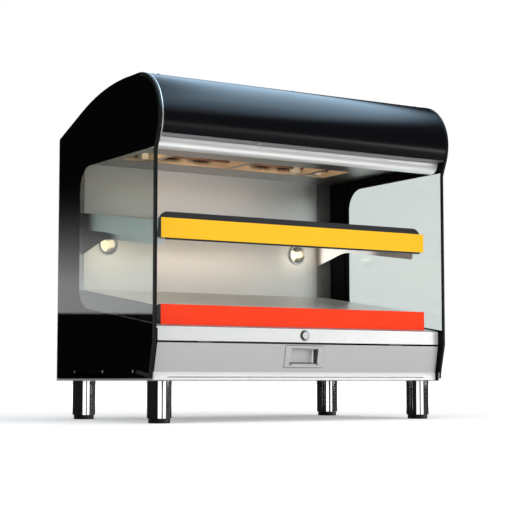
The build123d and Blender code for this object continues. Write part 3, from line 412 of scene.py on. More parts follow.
def keep_out_of_sight(lamp):
    """The lamp still lights the cabinet, but no ray sees its glowing ball or disc"""
    lamp.visible_camera = False
    lamp.visible_glossy = False
    lamp.visible_transmission = False


def soft_lamp(name, place, aim, size, power, colour=(1, 1, 1)):
    bpy.ops.object.light_add(type="AREA", location=place)
    lamp = bpy.context.object
    lamp.name = name
    lamp.rotation_euler = (Vector(aim) - Vector(place)).to_track_quat("-Z", "Y").to_euler()
    lamp.data.shape = "DISK"
    lamp.data.size = size
    lamp.data.energy = power
    lamp.data.color = colour
    keep_out_of_sight(lamp)


soft_lamp("front_lamp", (0.8, -3.4, 1.2), (0, 0, 0.45), 2.2, 40)
soft_lamp("left_lamp", (-3.0, -1.6, 1.8), (0, 0, 0.4), 1.8, 22)
soft_lamp("top_lamp", (0.2, -0.4, 3.2), (0, 0, 0.4), 2.4, 40, (0.92, 0.96, 1.0))
print("studio lamps placed")

# %% [markdown]
# ## Lamps inside the cabinet
# Small warm lamps shine where the real cabinet is warm: one stands before each round lens, and four hang in
# the heater wells. Two long lamps only lift the rear wall, as light thrown between steel sheets does.

# %% Place the warm lamps inside
LENS_X = 0.320
LENS_HEIGHT = 0.492
WALL_DEPTH = 0.253


def warm_lamp(name, place, power, radius, colour=(1.0, 0.78, 0.50)):
    bpy.ops.object.light_add(type="POINT", location=place)
    lamp = bpy.context.object
    lamp.name = name
    lamp.data.energy = power
    lamp.data.color = colour
    lamp.data.shadow_soft_size = radius
    keep_out_of_sight(lamp)


for hand, word in ((-1, "left"), (1, "right")):
    before_lens = (hand * LENS_X, WALL_DEPTH - 0.060, LENS_HEIGHT - 0.010)
    warm_lamp(f"{word}_shelf_lamp", before_lens, 0.22, 0.02, (1.0, 0.84, 0.62))
    warm_lamp(f"{word}_well_lamp", (hand * 0.128, 0.06, 0.748), 0.35, 0.05)
warm_lamp("left_end_well_lamp", (-0.30, 0.06, 0.75), 0.16, 0.03)
warm_lamp("right_end_well_lamp", (0.30, 0.06, 0.75), 0.04, 0.03)


def wall_washer(name, x, height, width, power, colour):
    """Long low lamp that only brightens the rear wall behind a shelf"""
    bpy.ops.object.light_add(type="AREA", location=(x, 0.165, height), rotation=(radians(90), 0, 0))
    lamp = bpy.context.object
    lamp.name = name
    lamp.data.shape = "RECTANGLE"
    lamp.data.size = width
    lamp.data.size_y = 0.03
    lamp.data.energy = power
    lamp.data.color = colour
    keep_out_of_sight(lamp)


wall_washer("lower_wall_washer", -0.10, 0.460, 0.66, 0.46, (1.0, 0.82, 0.62))
wall_washer("upper_wall_washer", -0.10, 0.620, 0.52, 0.19, (1.0, 0.93, 0.85))
print("warm lamps placed")

# %% [markdown]
# ## Metals
# The cabinet is mostly folded stainless sheet. Its mill grain runs one way along each sheet, so the grain is
# noise stretched hard along that way: it varies the roughness, lifts a faint bump, and a broader, slower
# noise adds the cloudiness that cleaning cloths leave.

# %% Brush the steels


def brushed_steel(name, colour, roughness, grain, metal=0.62, cloud=0.04, scratch=0.015):
    """Stainless sheet with its grain along one axis of the cabinet"""
    finish = Finish(name)
    stretch = {"x": (0.02, 1, 1), "y": (1, 0.02, 1), "z": (1, 1, 0.02)}[grain]
    fine = finish.noise(finish.object_place(stretch), 1400, 4, 0.7)
    coarse = finish.noise(finish.object_place(stretch), 620, 2, 0.5)
    smear = finish.noise(finish.object_place(), 7, 3, 0.55, 0.6)
    tone = 1 - cloud / 2 + (coarse - 0.5) * scratch + (smear - 0.5) * cloud
    shade = finish.toned(colour, tone)
    rough = roughness + (fine - 0.5) * 0.06 + (smear - 0.5) * 0.10
    relief = finish.bump(fine * 0.6 + coarse * 0.4, 0.00001, 0.2)
    finish.surface(Base_Color=shade, Metallic=metal, Roughness=rough, Normal=relief)
    return finish.material


sheet_across = brushed_steel("sheet_grain_across", (0.70, 0.70, 0.69), 0.30, "x")
sheet_upright = brushed_steel("sheet_grain_upright", (0.66, 0.66, 0.655), 0.30, "z")
zinc_plate = brushed_steel("zinc_plate", (0.72, 0.72, 0.70), 0.28, "z", 0.95, 0.10)
satin_aluminium = brushed_steel("satin_aluminium", (0.62, 0.62, 0.62), 0.34, "x", 0.7)
hem_aluminium = brushed_steel("hem_aluminium", (0.25, 0.25, 0.245), 0.34, "x", 0.6)
front_steel = brushed_steel("front_grain_across", (0.86, 0.86, 0.85), 0.30, "x", 0.5)
post_steel = brushed_steel("post_grain_upright", (0.70, 0.70, 0.695), 0.20, "z", 0.88)
satin_nickel = brushed_steel("satin_nickel", (0.82, 0.82, 0.81), 0.34, "z", 0.5)
print("steels brushed")

# %% [markdown]
# ## Steel whose tone changes by place
# Some sheets get a tone that changes by place, most of it painted shade, painted highlight and painted
# reflection.
# One function makes such a steel, and a small function for each piece says how its tone runs.

# %% Shade the wall and the valance


def graded_steel(name, roughness, metal, shade_of):
    """Steel with its grain across the cabinet, its tone set by place"""
    finish = Finish(name)
    fine = finish.noise(finish.object_place((0.02, 1, 1)), 1200, 3, 0.6)
    smear = finish.noise(finish.object_place(), 7, 3, 0.55, 0.6)
    across, deep, high = finish.node("ShaderNodeTexCoord", output=3).parts()
    finish.surface(
        Base_Color=shade_of(finish, across, high),
        Metallic=metal,
        Roughness=roughness + (fine - 0.5) * 0.06 + (smear - 0.5) * 0.08,
        Normal=finish.bump(fine, 0.00001, 0.2),
    )
    return finish.material


def wall_tone(finish, across, high):
    """Lighter and warmer to the left, greyer to the right, and painted shade in the right-hand corner"""
    warm = finish.blend(across.above(-0.15, 0.34), paint(0.90, 0.875, 0.845), paint(0.76, 0.75, 0.735))
    return finish.blend(across.above(0.335, 0.402) * 0.35, warm, paint(0.36, 0.36, 0.36))


def valance_tone(finish, across, high):
    """The roll is darker towards its upper edge"""
    low, top = (corner[2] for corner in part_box("front_valance"))
    return finish.blend(high.above(low + 0.004, top), paint(1.0, 1.0, 0.99), paint(0.72, 0.72, 0.715))


wall_steel = graded_steel("wall_grain_across", 0.33, 0.70, wall_tone)
satin_roll = graded_steel("satin_roll", 0.34, 0.5, valance_tone)
print("wall and valance shaded")

# %% [markdown]
# ## The door and its pull
# A painted shadow line runs round the pull's flange. The pressed cup has a painted shadow along its top and
# relief holes below painted dark, and its right-hand wall is in painted shade until a painted highlight where
# it turns into the floor.
# The lock's ring carries a painted reflection, dark on its left and bright on its right.

# %% Shade the door and its pull
PULL_HEIGHT = 0.169
FLANGE_HALF_WIDTH = 0.0600
FLANGE_HALF_HEIGHT = 0.0277
POCKET_HALF_WIDTH = 0.0420
POCKET_HALF_HEIGHT = 0.0195
RELIEF_RADIUS = 0.0042
CUP_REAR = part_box("door_pull")[1][1]


def rim_line(across, high, half_width, half_height, thick):
    """1 on a thin line just outside a rectangle around the pull"""
    over = (across.size() - half_width).larger((high - PULL_HEIGHT).size() - half_height)
    return over.within(0, thick, thick * 0.3)


def door_tone(finish, across, high):
    # painted shadow line just outside the pull's flange, weaker on its right-hand side
    rim = rim_line(across, high, FLANGE_HALF_WIDTH, FLANGE_HALF_HEIGHT, 0.0022)
    flange_shadow = rim * (1 - across.above(0.055, 0.060) * 0.7)
    return finish.blend(flange_shadow * 0.85, paint(0.835, 0.83, 0.82), paint(0.25, 0.25, 0.25))


def pull_tone(finish, across, high):
    """Painted shadow along the top of the pressed cup, and the relief holes in its lower corners painted dark
    as shade
    """
    seam_shadow = (high - PULL_HEIGHT).within(POCKET_HALF_HEIGHT - 0.0008, POCKET_HALF_HEIGHT + 0.0021, 0.0005)
    seam_shadow = seam_shadow * (1 - across.size().above(POCKET_HALF_WIDTH, POCKET_HALF_WIDTH + 0.001))
    aside = across.size() - POCKET_HALF_WIDTH
    below = high - (PULL_HEIGHT - POCKET_HALF_HEIGHT)
    relief_hole_shade = 1 - (aside * aside + below * below).above(RELIEF_RADIUS**2 * 0.7, RELIEF_RADIUS**2 * 1.3)
    return finish.blend((seam_shadow * 0.6 + relief_hole_shade).smaller(0.9), paint(0.835, 0.83, 0.82), paint(0.12, 0.12, 0.12))


door_steel = graded_steel("door_grain_across", 0.30, 0.60, door_tone)
pull_steel = graded_steel("pull_grain_across", 0.30, 0.60, pull_tone)
# painted light: a less metallic copy of the pull steel that lifts the shade on the cup's floor
cup_floor_lit = brushed_steel("cup_floor_lit", (0.83, 0.825, 0.815), 0.34, "x", 0.30)
# painted shade on the cup's foot
cup_foot_shade = brushed_steel("cup_foot_shade", (0.15, 0.15, 0.15), 0.40, "x", 0.3)
# painted highlight: a brighter, less metallic copy of the door steel for its toe
toe_highlight_steel = brushed_steel("toe_grain_across", (0.98, 0.98, 0.97), 0.32, "x", 0.38)


def ring_tone(finish, across, high):
    """The lock's rim is painted dark on its left and bright on its right: a painted reflection"""
    return finish.blend(across.above(-0.007, 0.009), paint(0.05, 0.05, 0.05), paint(0.55, 0.55, 0.55))


lock_chrome = graded_steel("lock_chrome", 0.30, 0.5, ring_tone)


def shaded_wall():
    """The cup's right-hand wall in painted shade, with a painted highlight that glows faintly where it turns
    into the floor
    """
    finish = Finish("shaded_cup_wall")
    across, deep, high = finish.node("ShaderNodeTexCoord", output=3).parts()
    fine = finish.noise(finish.object_place((0.02, 1, 1)), 1200, 3, 0.6)
    # painted highlight where the wall turns into the floor
    turned = deep.above(CUP_REAR - 0.0100, CUP_REAR - 0.0088)
    finish.surface(
        Base_Color=finish.blend(turned, paint(0.075, 0.075, 0.075), paint(0.98, 0.98, 0.97)),
        Metallic=0.3,
        Roughness=0.38 + (fine - 0.5) * 0.06,
        Specular_IOR_Level=0.2,
        Emission_Color=finish.blend(turned, paint(0, 0, 0), paint(1, 1, 1)),
        Emission_Strength=0.30,
    )
    return finish.material


shaded_steel = shaded_wall()
print("door, pull and lock shaded")

# %% [markdown]
# ## Two ends of one steel
# The same sheet is painted differently at each end of the cabinet: on the left, painted shade darkens it
# towards the rear wall, and on the right, painted light stands for the light that the wall throws back.

# %% Shade the steel beside the brackets


def side_steel(name, left_light, left_edges, right_front, right_rear, lift=0.0):
    """Steel with painted shade on the left piece towards the rear wall, and painted light on the right one,
    which glows faintly by lift
    """
    finish = Finish(name)
    fine = finish.noise(finish.object_place((1, 0.02, 1)), 1200, 3, 0.6)
    across, deep, high = finish.node("ShaderNodeTexCoord", output=3).parts()
    on_right = across.above(-0.01, 0.01)
    left_dark = deep.above(*left_edges)
    left_tone = finish.blend(left_dark, paint(*left_light), paint(0.012, 0.012, 0.012))
    # painted shade on the right piece in its corner by the rear wall
    corner_shade = deep.above(0.215, 0.247)
    right_lit = deep.above(-0.08, 0.01) * (1 - corner_shade)
    right_tone = finish.blend(right_lit, paint(*right_front), paint(*right_rear))
    finish.surface(
        Base_Color=finish.blend(on_right, left_tone, right_tone),
        Metallic=(1 - on_right) * (1 - left_dark) * 0.45 + on_right * 0.6,
        Roughness=0.34 + (fine - 0.5) * 0.1,
        Specular_IOR_Level=0.06,
        Normal=finish.bump(fine, 0.00002, 0.3),
        # painted light: the right piece glows faintly where it is lit
        Emission_Color=finish.blend(on_right * right_lit, paint(0, 0, 0), paint(0.96, 0.98, 1.0)),
        Emission_Strength=lift,
    )
    return finish.material


bracket_steel = side_steel(
    "bracket_grain_deep", (0.98, 1.0, 0.99), (0.0, 0.08), (0.48, 0.45, 0.43), (0.98, 0.99, 1.0), 0.42
)
shelf_side = side_steel(
    "shelf_side_grain", (0.95, 1.0, 0.98), (0.115, 0.185), (0.5, 0.5, 0.5), (0.5, 0.5, 0.5)
)
print("bracket steel shaded")

# %% [markdown]
# ## Plated metal
# Chrome has no grain. Only hairlines and a faint haze break up its mirror.

# %% Polish the chrome


def polished_metal(name, colour, roughness):
    """Plated metal: mirror bright, with hairlines and a breath of haze"""
    finish = Finish(name)
    hairs = finish.noise(finish.object_place((1, 1, 0.08)), 900, 5, 0.75)
    haze_cloud = finish.noise(finish.object_place(), 24, 3, 0.5, 0.8)
    rough = roughness + hairs.above(0.62, 0.80) * 0.012 + (haze_cloud - 0.5) * 0.03
    tone = 1 - hairs.above(0.66, 0.85) * 0.05
    shade = finish.toned(colour, tone)
    finish.surface(Base_Color=shade, Metallic=1.0, Roughness=rough)
    return finish.material


chrome_plate = polished_metal("chrome_plate", (0.86, 0.86, 0.87), 0.06)
bright_roll = polished_metal("bright_roll", (0.82, 0.82, 0.82), 0.16)
lamp_mirror = polished_metal("lamp_mirror", (0.90, 0.89, 0.86), 0.08)
print("chrome polished")

# %% [markdown]
# ## Heat-worn steel
# Around the element the steel has lived with heat. The soffit has gone dull and warm grey. The wells are
# straw gold, with dark red-brown marks above each run of the element, near its supports, and a painted warm
# glow.

# %% Tint the heater steels
DARK_MARK_PLACES = (-0.305, -0.187, -0.093, 0.118, 0.196)


def heat_dulled():
    finish = Finish("heat_dulled_steel")
    streak = finish.noise(finish.object_place((0.03, 1, 1)), 500, 4, 0.65)
    bloom = finish.noise(finish.object_place(), 9, 4, 0.6, 0.8)
    shade = finish.blend(bloom.above(0.35, 0.7), paint(0.40, 0.37, 0.34), paint(0.33, 0.32, 0.315))
    finish.surface(
        Base_Color=shade,
        Metallic=0.85,
        Roughness=0.36 + (streak - 0.5) * 0.12,
        Normal=finish.bump(streak, 0.00004, 0.5),
    )
    return finish.material


def gilded_by_heat():
    finish = Finish("gilded_reflector")
    place = finish.node("ShaderNodeTexCoord", output=3)
    across, deep, high = place.parts()
    wander = (finish.noise(finish.object_place(), 22, 4, 0.6) - 0.5) * 0.05
    dark_marks = 0
    for middle in DARK_MARK_PLACES:
        dark_marks = dark_marks + (across + (wander - middle)).size().above(0.050, 0.014)
    dark_marks = dark_marks * (high + wander * 0.3).above(0.720, 0.736)
    ripple = finish.noise(finish.object_place((0.1, 1, 1)), 160, 4, 0.6)
    gold = finish.blend(ripple, paint(0.66, 0.50, 0.34), paint(0.54, 0.40, 0.27))
    shade = finish.blend(dark_marks.smaller(1), gold, paint(0.035, 0.012, 0.008))
    finish.surface(
        Base_Color=shade,
        Metallic=0.35,
        Roughness=0.42 + (ripple - 0.5) * 0.2,
        # painted warm glow on the gold, dark on the marks
        Emission_Color=finish.blend(dark_marks.smaller(1), paint(0.50, 0.36, 0.22), paint(0.012, 0.002, 0.001)),
        Emission_Strength=0.20,
        Normal=finish.bump(ripple, 0.0003, 0.4),
    )
    return finish.material


dulled_steel = heat_dulled()
gilded_steel = gilded_by_heat()
print("heater steels tinted")

# %% [markdown]
# ## Black canopy, black print and glass
# The canopy is sprayed gloss black: a deep colour under a clear coat, with the faint orange peel that
# sprayed paint keeps. The border on the glass is fired enamel, seen through the glass, so it is plain
# black and the glass in front gives the shine. The glass is real glass that lets lamp rays pass straight.

# %% Mix the blacks and the glass


def sprayed_black():
    finish = Finish("sprayed_gloss_black")
    peel = finish.noise(finish.object_place(), 420, 2, 0.4)
    dust = finish.noise(finish.object_place(), 2600, 2, 0.5).above(0.70, 0.80)
    shade = finish.blend(dust, paint(0.0035, 0.0035, 0.0045), paint(0.03, 0.03, 0.035))
    finish.surface(
        Base_Color=shade,
        Roughness=0.17 + dust * 0.2,
        Specular_IOR_Level=0.2,
        Normal=finish.bump(peel, 0.00005, 0.3),
    )
    return finish.material


def fired_enamel():
    finish = Finish("fired_black_enamel")
    pin_holes = finish.noise(finish.object_place(), 1800, 2, 0.5).above(0.72, 0.80)
    shade = finish.blend(pin_holes, paint(0.0025, 0.0025, 0.003), paint(0.010, 0.010, 0.012))
    finish.surface(Base_Color=shade, Roughness=0.5 + pin_holes * 0.2, Specular_IOR_Level=0.08)
    return finish.material


def clear_glass(name, tint, lamp_tint, roughness=0.0, ripple=0.0):
    finish = Finish(name)
    inputs = {
        "Base Color": tint,
        "Roughness": roughness,
        "IOR": 1.50,
        "Transmission Weight": 1.0,
    }
    if ripple:
        wave = finish.noise(finish.object_place(), 180, 2, 0.4)
        inputs["Normal"] = finish.bump(wave, ripple, 0.5)
    glass = finish.node("ShaderNodeBsdfPrincipled", None, inputs)
    passing = finish.node("ShaderNodeBsdfTransparent", None, {"Color": lamp_tint})
    light_path = finish.node("ShaderNodeLightPath").socket.node
    shadow = Signal(finish, light_path.outputs["Is Shadow Ray"])
    finish.show(finish.node("ShaderNodeMixShader", None, {0: shadow, 1: glass, 2: passing}))
    return finish.material


def lit_bulb():
    """Frosted capsule, whitest where the filament stands"""
    finish = Finish("lit_bulb")
    frost = finish.noise(finish.object_place(), 500, 3, 0.6)
    finish.surface(
        Base_Color=paint(0.95, 0.90, 0.80),
        Roughness=0.4 + frost * 0.2,
        Emission_Color=finish.blend(frost, paint(1.0, 0.76, 0.46), paint(1.0, 0.90, 0.76)),
        Emission_Strength=1.4,
    )
    return finish.material


# painted reflection of the black border, for the glass's edge and a band along its front
def dark_glass_edge():
    finish = Finish("dark_glass_edge")
    ground = finish.noise(finish.object_place(), 900, 3, 0.6)
    shade = finish.blend(ground, paint(0.003, 0.004, 0.004), paint(0.008, 0.011, 0.010))
    finish.surface(Base_Color=shade, Roughness=0.30 + ground * 0.1, Specular_IOR_Level=0.25)
    return finish.material


black_paint = sprayed_black()
black_enamel = fired_enamel()
side_glass = clear_glass("side_glass", paint(0.686, 0.754, 0.730), paint(0.78, 0.83, 0.81))
lens_glass = clear_glass("lens_glass", paint(0.98, 0.96, 0.90), paint(0.95, 0.93, 0.88), 0.08, 0.002)
bulb_glass = lit_bulb()
glass_edge = dark_glass_edge()
print("blacks and glass mixed")

# %% [markdown]
# ## Plastics, ceramic and the rest
# The small pieces get the finish of their own making: moulded nylon has a fine spark-eroded grain, glazed
# ceramic has crazing, the printed strips are gloss film over coloured card, and the sleeving is woven.

# %% Mould the plastics and glaze the ceramic


def moulded_black(name, colour, roughness, grain_size, grain_depth):
    finish = Finish(name)
    grain = finish.noise(finish.object_place(), grain_size, 3, 0.6)
    rub = finish.noise(finish.object_place(), 30, 3, 0.55, 0.6)
    tone = 0.85 + rub * 0.3
    shade = finish.toned(colour, tone)
    finish.surface(
        Base_Color=shade,
        Roughness=roughness + (rub - 0.5) * 0.16,
        Normal=finish.bump(grain, grain_depth, 0.5),
    )
    return finish.material


def glazed_ceramic():
    finish = Finish("glazed_ceramic")
    speck = finish.noise(finish.object_place(), 700, 3, 0.6).above(0.62, 0.72)
    tone = finish.noise(finish.object_place(), 60, 3, 0.5)
    body = finish.blend(tone, paint(0.88, 0.84, 0.73), paint(0.82, 0.77, 0.66))
    shade = finish.blend(speck * 0.5, body, paint(0.45, 0.36, 0.26))
    finish.surface(
        Base_Color=shade,
        Roughness=0.28 + speck * 0.25,
        Coat_Weight=0.3,
        Coat_Roughness=0.1,
        Normal=finish.bump(tone, 0.0001, 0.4),
    )
    return finish.material


def sheathed_element():
    finish = Finish("oxidised_sheath")
    scale_mark = finish.noise(finish.object_place((0.5, 1, 1)), 240, 4, 0.65)
    shade = finish.blend(scale_mark, paint(0.10, 0.085, 0.075), paint(0.22, 0.17, 0.14))
    finish.surface(
        Base_Color=shade,
        Metallic=0.4,
        Roughness=0.55 + scale_mark * 0.25,
        Emission_Color=paint(1.0, 0.16, 0.03),
        Emission_Strength=0.05,
        Normal=finish.bump(scale_mark, 0.0002, 0.6),
    )
    return finish.material


black_nylon = moulded_black("black_nylon", (0.020, 0.020, 0.022), 0.42, 900, 0.00008)
black_knob = moulded_black("satin_black_knob", (0.030, 0.030, 0.033), 0.36, 1400, 0.00005)
foot_nylon = moulded_black("foot_nylon", (0.006, 0.006, 0.007), 0.34, 700, 0.00008)
dark_magnet = moulded_black("dark_magnet", (0.10, 0.10, 0.11), 0.50, 1600, 0.00005)
ceramic = glazed_ceramic()
sheath = sheathed_element()
print("plastics moulded and ceramic glazed")

# %% [markdown]
# ## Printed strips
# Two plain coloured strips clip into the holders. Film over card is even in colour and varies only a little.

# %% Print the sign strips


def gloss_print(name, colour, pale):
    """Coloured card under clear gloss film, a little paler where the film has rubbed"""
    finish = Finish(name)
    fibre = finish.noise(finish.object_place((0.3, 1, 1)), 800, 3, 0.6)
    rub = finish.noise(finish.object_place(), 12, 3, 0.5, 0.5)
    printed = finish.blend(fibre * 0.25 + rub * 0.35, colour, pale)
    finish.surface(
        Base_Color=printed,
        Roughness=0.40 + (rub - 0.5) * 0.12,
        Specular_IOR_Level=0.12,
        Normal=finish.bump(rub, 0.0004, 0.2),
    )
    return finish.material


yellow_print = gloss_print("yellow_print", paint(1.0, 0.535, 0.016), paint(1.0, 0.57, 0.026))
red_print = gloss_print("red_print", paint(1.0, 0.046, 0.008), paint(1.0, 0.058, 0.013))
print("strips printed")

# %% [markdown]
# ## Materials behind the covers
# What lies inside shows only through the open door, but it still gets its own make: spangled zinc, woven
# sleeving, silicone sheet and mineral wool.

# %% Finish the hidden materials


def galvanised():
    """Zinc-dipped sheet with its frost-like spangle"""
    finish = Finish("galvanised_sheet")
    flake = finish.node(
        "ShaderNodeTexVoronoi", None, {"Vector": finish.object_place(), "Scale": 90.0}, output=1
    )
    red, green, blue = flake.parts()
    shade = finish.blend(red, paint(0.50, 0.52, 0.53), paint(0.66, 0.68, 0.69))
    finish.surface(Base_Color=shade, Metallic=0.85, Roughness=0.34 + green * 0.22)
    return finish.material


def woven_sleeve():
    finish = Finish("woven_sleeve")
    weave = {"Vector": finish.object_place(), "Scale": 260.0, "Distortion": 1.5}
    weft = finish.node("ShaderNodeTexWave", {"bands_direction": "DIAGONAL"}, weave)
    shade = finish.blend(weft, paint(0.012, 0.012, 0.012), paint(0.05, 0.05, 0.05))
    finish.surface(Base_Color=shade, Roughness=0.8, Normal=finish.bump(weft, 0.0003, 0.7))
    return finish.material


def silicone_sheet():
    finish = Finish("red_silicone_sheet")
    weave = {"Vector": finish.object_place(), "Scale": 300.0, "Distortion": 0.8}
    cloth = finish.node("ShaderNodeTexWave", None, weave)
    shade = finish.blend(cloth, paint(0.40, 0.085, 0.05), paint(0.50, 0.12, 0.07))
    finish.surface(Base_Color=shade, Roughness=0.6, Normal=finish.bump(cloth, 0.0002, 0.5))
    return finish.material


def pressed_fibre():
    finish = Finish("pressed_fibre")
    tuft = finish.noise(finish.object_place((1, 1, 4)), 90, 6, 0.75, 1.2)
    shade = finish.blend(tuft, paint(0.46, 0.40, 0.24), paint(0.72, 0.66, 0.48))
    finish.surface(Base_Color=shade, Roughness=0.95, Normal=finish.bump(tuft, 0.002, 0.8))
    return finish.material


galvanised_sheet = galvanised()
woven_sleeving = woven_sleeve()
red_silicone = silicone_sheet()
mineral_wool = pressed_fibre()
print("hidden materials finished")

# %% [markdown]
# ## From CAD node to finished sheet
# A CAD node arrives as loose triangles with knife edges. Real sheet has a tiny radius on each cut and fold
# that catches the light. So each visible node is copied, its triangles are merged and flat ones joined,
# a fine bevel is run along its edges, and the copy takes the node's place.
# Faces are chosen by their normal: one looks along an axis when its normal's share there passes FACING.

# %% Write the softening helper
FACING = 0.9

finished = {}


def choose(piece):
    """Makes one object the only selected and active one"""
    bpy.ops.object.select_all(action="DESELECT")
    piece.select_set(True)
    bpy.context.view_layer.objects.active = piece


def level_shading(piece, angle=28):
    """Smooth along roundings, and level over each large flat face"""
    choose(piece)
    bpy.ops.mesh.customdata_custom_splitnormals_clear()
    bpy.ops.object.shade_smooth_by_angle(angle=radians(angle))
    level = piece.modifiers.new("level_faces", "WEIGHTED_NORMAL")
    level.keep_sharp = True
    level.weight = 100
    bpy.ops.object.modifier_apply(modifier="level_faces")


def pick_faces(piece, wanted):
    """Goes into edit mode with only the wanted faces selected"""
    choose(piece)
    bpy.ops.object.mode_set(mode="EDIT")
    bpy.ops.mesh.select_mode(type="FACE")
    bpy.ops.mesh.select_all(action="DESELECT")
    bpy.ops.object.mode_set(mode="OBJECT")
    for face in piece.data.polygons:
        face.select = wanted(face)
    bpy.ops.object.mode_set(mode="EDIT")


def copy_at(piece, move):
    """Copy with a mesh of its own, which takes the move"""
    twin = piece.copy()
    twin.data = piece.data.copy()
    twin.data.transform(move)
    scene.collection.objects.link(twin)
    return twin


def small_block(place, size):
    """Box whose place and size are already in its mesh"""
    bpy.ops.mesh.primitive_cube_add(size=1, location=place, scale=size)
    bpy.ops.object.transform_apply()
    return bpy.context.object


def join_as(name, pieces):
    bpy.ops.object.select_all(action="DESELECT")
    for piece in pieces:
        piece.select_set(True)
    bpy.context.view_layer.objects.active = pieces[0]
    bpy.ops.object.join()
    joined = bpy.context.object
    joined.name = name
    return joined


def dress(piece, material, body):
    """Gives a new piece its material and the body that it rides on"""
    piece.data.materials.clear()
    piece.data.materials.append(material)
    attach(piece, body)


def soften(name, edge=0.4, steps=2, angle=28):
    """Finished copy of a CAD node, its edges rounded by some tenths of a millimetre"""
    mesh = nodes[name].data.copy()
    piece = bpy.data.objects.new(f"{name}_finished", mesh)
    scene.collection.objects.link(piece)
    choose(piece)
    bpy.ops.mesh.customdata_custom_splitnormals_clear()
    bpy.ops.object.mode_set(mode="EDIT")
    bpy.ops.mesh.select_all(action="SELECT")
    bpy.ops.mesh.remove_doubles(threshold=0.000002)
    bpy.ops.mesh.dissolve_limited(angle_limit=radians(0.4))
    bpy.ops.object.mode_set(mode="OBJECT")
    if edge:
        bevel = piece.modifiers.new("edge", "BEVEL")
        bevel.width = edge * MILLIMETRE
        bevel.segments = steps
        bevel.limit_method = "ANGLE"
        bevel.angle_limit = radians(angle)
        bevel.use_clamp_overlap = True
        bpy.ops.object.modifier_apply(modifier="edge")
    level_shading(piece, angle)
    finished[name] = piece
    return piece


def place_finish(name, material, edge=0.4, steps=2, angle=28):
    """Softens a node, gives it its material and lets it stand for the node"""
    piece = soften(name, edge, steps, angle)
    piece.data.materials.clear()
    piece.data.materials.append(material)
    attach(piece, nodes[name]["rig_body"])
    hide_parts(name)
    return piece


print("softening helper ready")

# %% [markdown]
# ## Dress the sheet metal
# A table pairs each node with its finish, and one loop softens and dresses them all.

# %% Finish the sheet metal
sheet_finishes = {
    "left_side_frame": sheet_upright,
    "right_side_frame": sheet_upright,
    "roof_panel": sheet_across,
    "canopy_hem": hem_aluminium,
    "front_valance": satin_roll,
    "rear_wall": wall_steel,
    "rear_posts": post_steel,
    "rear_cover": sheet_across,
    "base_pan": galvanised_sheet,
    "base_deck": sheet_across,
    "front_bar": front_steel,
    "access_door": door_steel,
    "door_pull": pull_steel,
    "upper_shelf": sheet_across,
    "lower_shelf": sheet_across,
    "shelf_brackets": bracket_steel,
    "heater_soffit": dulled_steel,
    "well_reflectors": gilded_steel,
    "control_panel": galvanised_sheet,
    "canopy_splice": satin_aluminium,
    "canopy_skin": black_paint,
}
for name, material in sheet_finishes.items():
    place_finish(name, material, 0.3)
print(len(sheet_finishes), "sheet pieces finished")

# %% [markdown]
# ## Faces that differ on one sheet
# Some sheets need another finish on chosen faces: sides in deep shadow are painted black as shade, the door's
# toe has a painted highlight, and the pull's cup has painted shade on its wall and foot and painted light on
# its floor. Later calls win where faces overlap.

# %% Repaint chosen faces
TOE_TOP = 0.135
CUP_FLOOR_FRONT = -0.262
CUP_FOOT_FRONT = -0.266
FRAME_FOOT = 0.14
FRAME_WAIST = 0.32


def repaint(name, material, wanted):
    """Gives some faces of a finished node one more material"""
    piece = finished[name]
    piece.data.materials.append(material)
    for face in piece.data.polygons:
        if wanted(face):
            face.material_index = len(piece.data.materials) - 1


def left_frame_in_shade(face):
    folded = abs(face.normal.x) < FACING and FRAME_FOOT < face.center.z < FRAME_WAIST
    return face.normal.x > FACING or folded


def right_frame_in_shade(face):
    return face.normal.x < -FACING or (face.normal.x < FACING and face.center.z > FRAME_FOOT)


def foot_of_cup(face):
    low = face.center.z < PULL_HEIGHT and face.center.y > CUP_FOOT_FRONT
    return low and face.normal.z > FACING


# painted shade: frame faces in deep shadow are painted black
repaint("left_side_frame", black_enamel, left_frame_in_shade)
repaint("right_side_frame", black_enamel, right_frame_in_shade)
# the upper shelf's sides take the steel with painted shade and painted light
repaint("upper_shelf", shelf_side, lambda face: abs(face.normal.x) > FACING)
# painted shade: the lower shelf's and the deck's sides and the deck's underside are painted black
repaint("lower_shelf", black_enamel, lambda face: abs(face.normal.x) > FACING)
repaint("base_deck", black_enamel, lambda face: abs(face.normal.x) > FACING or face.normal.z < -0.1)
# painted highlight on the door's toe
repaint("access_door", toe_highlight_steel, lambda face: face.normal.y < -0.995 and face.center.z < TOE_TOP)
# painted shade on the cup's right-hand wall, painted light on its floor, painted shade on its foot
repaint("door_pull", shaded_steel, lambda face: face.normal.x < -FACING and face.center.x > 0)
repaint("door_pull", cup_floor_lit, lambda face: face.normal.y < -FACING and face.center.y > CUP_FLOOR_FRONT)
repaint("door_pull", cup_foot_shade, foot_of_cup)
print("frames, shelves, deck, door and pull repainted")

# %% [markdown]
# ## Dress the small pieces
# The same function serves screws, knobs and feet, with a finer edge. Only the lock's ring is well rounded.

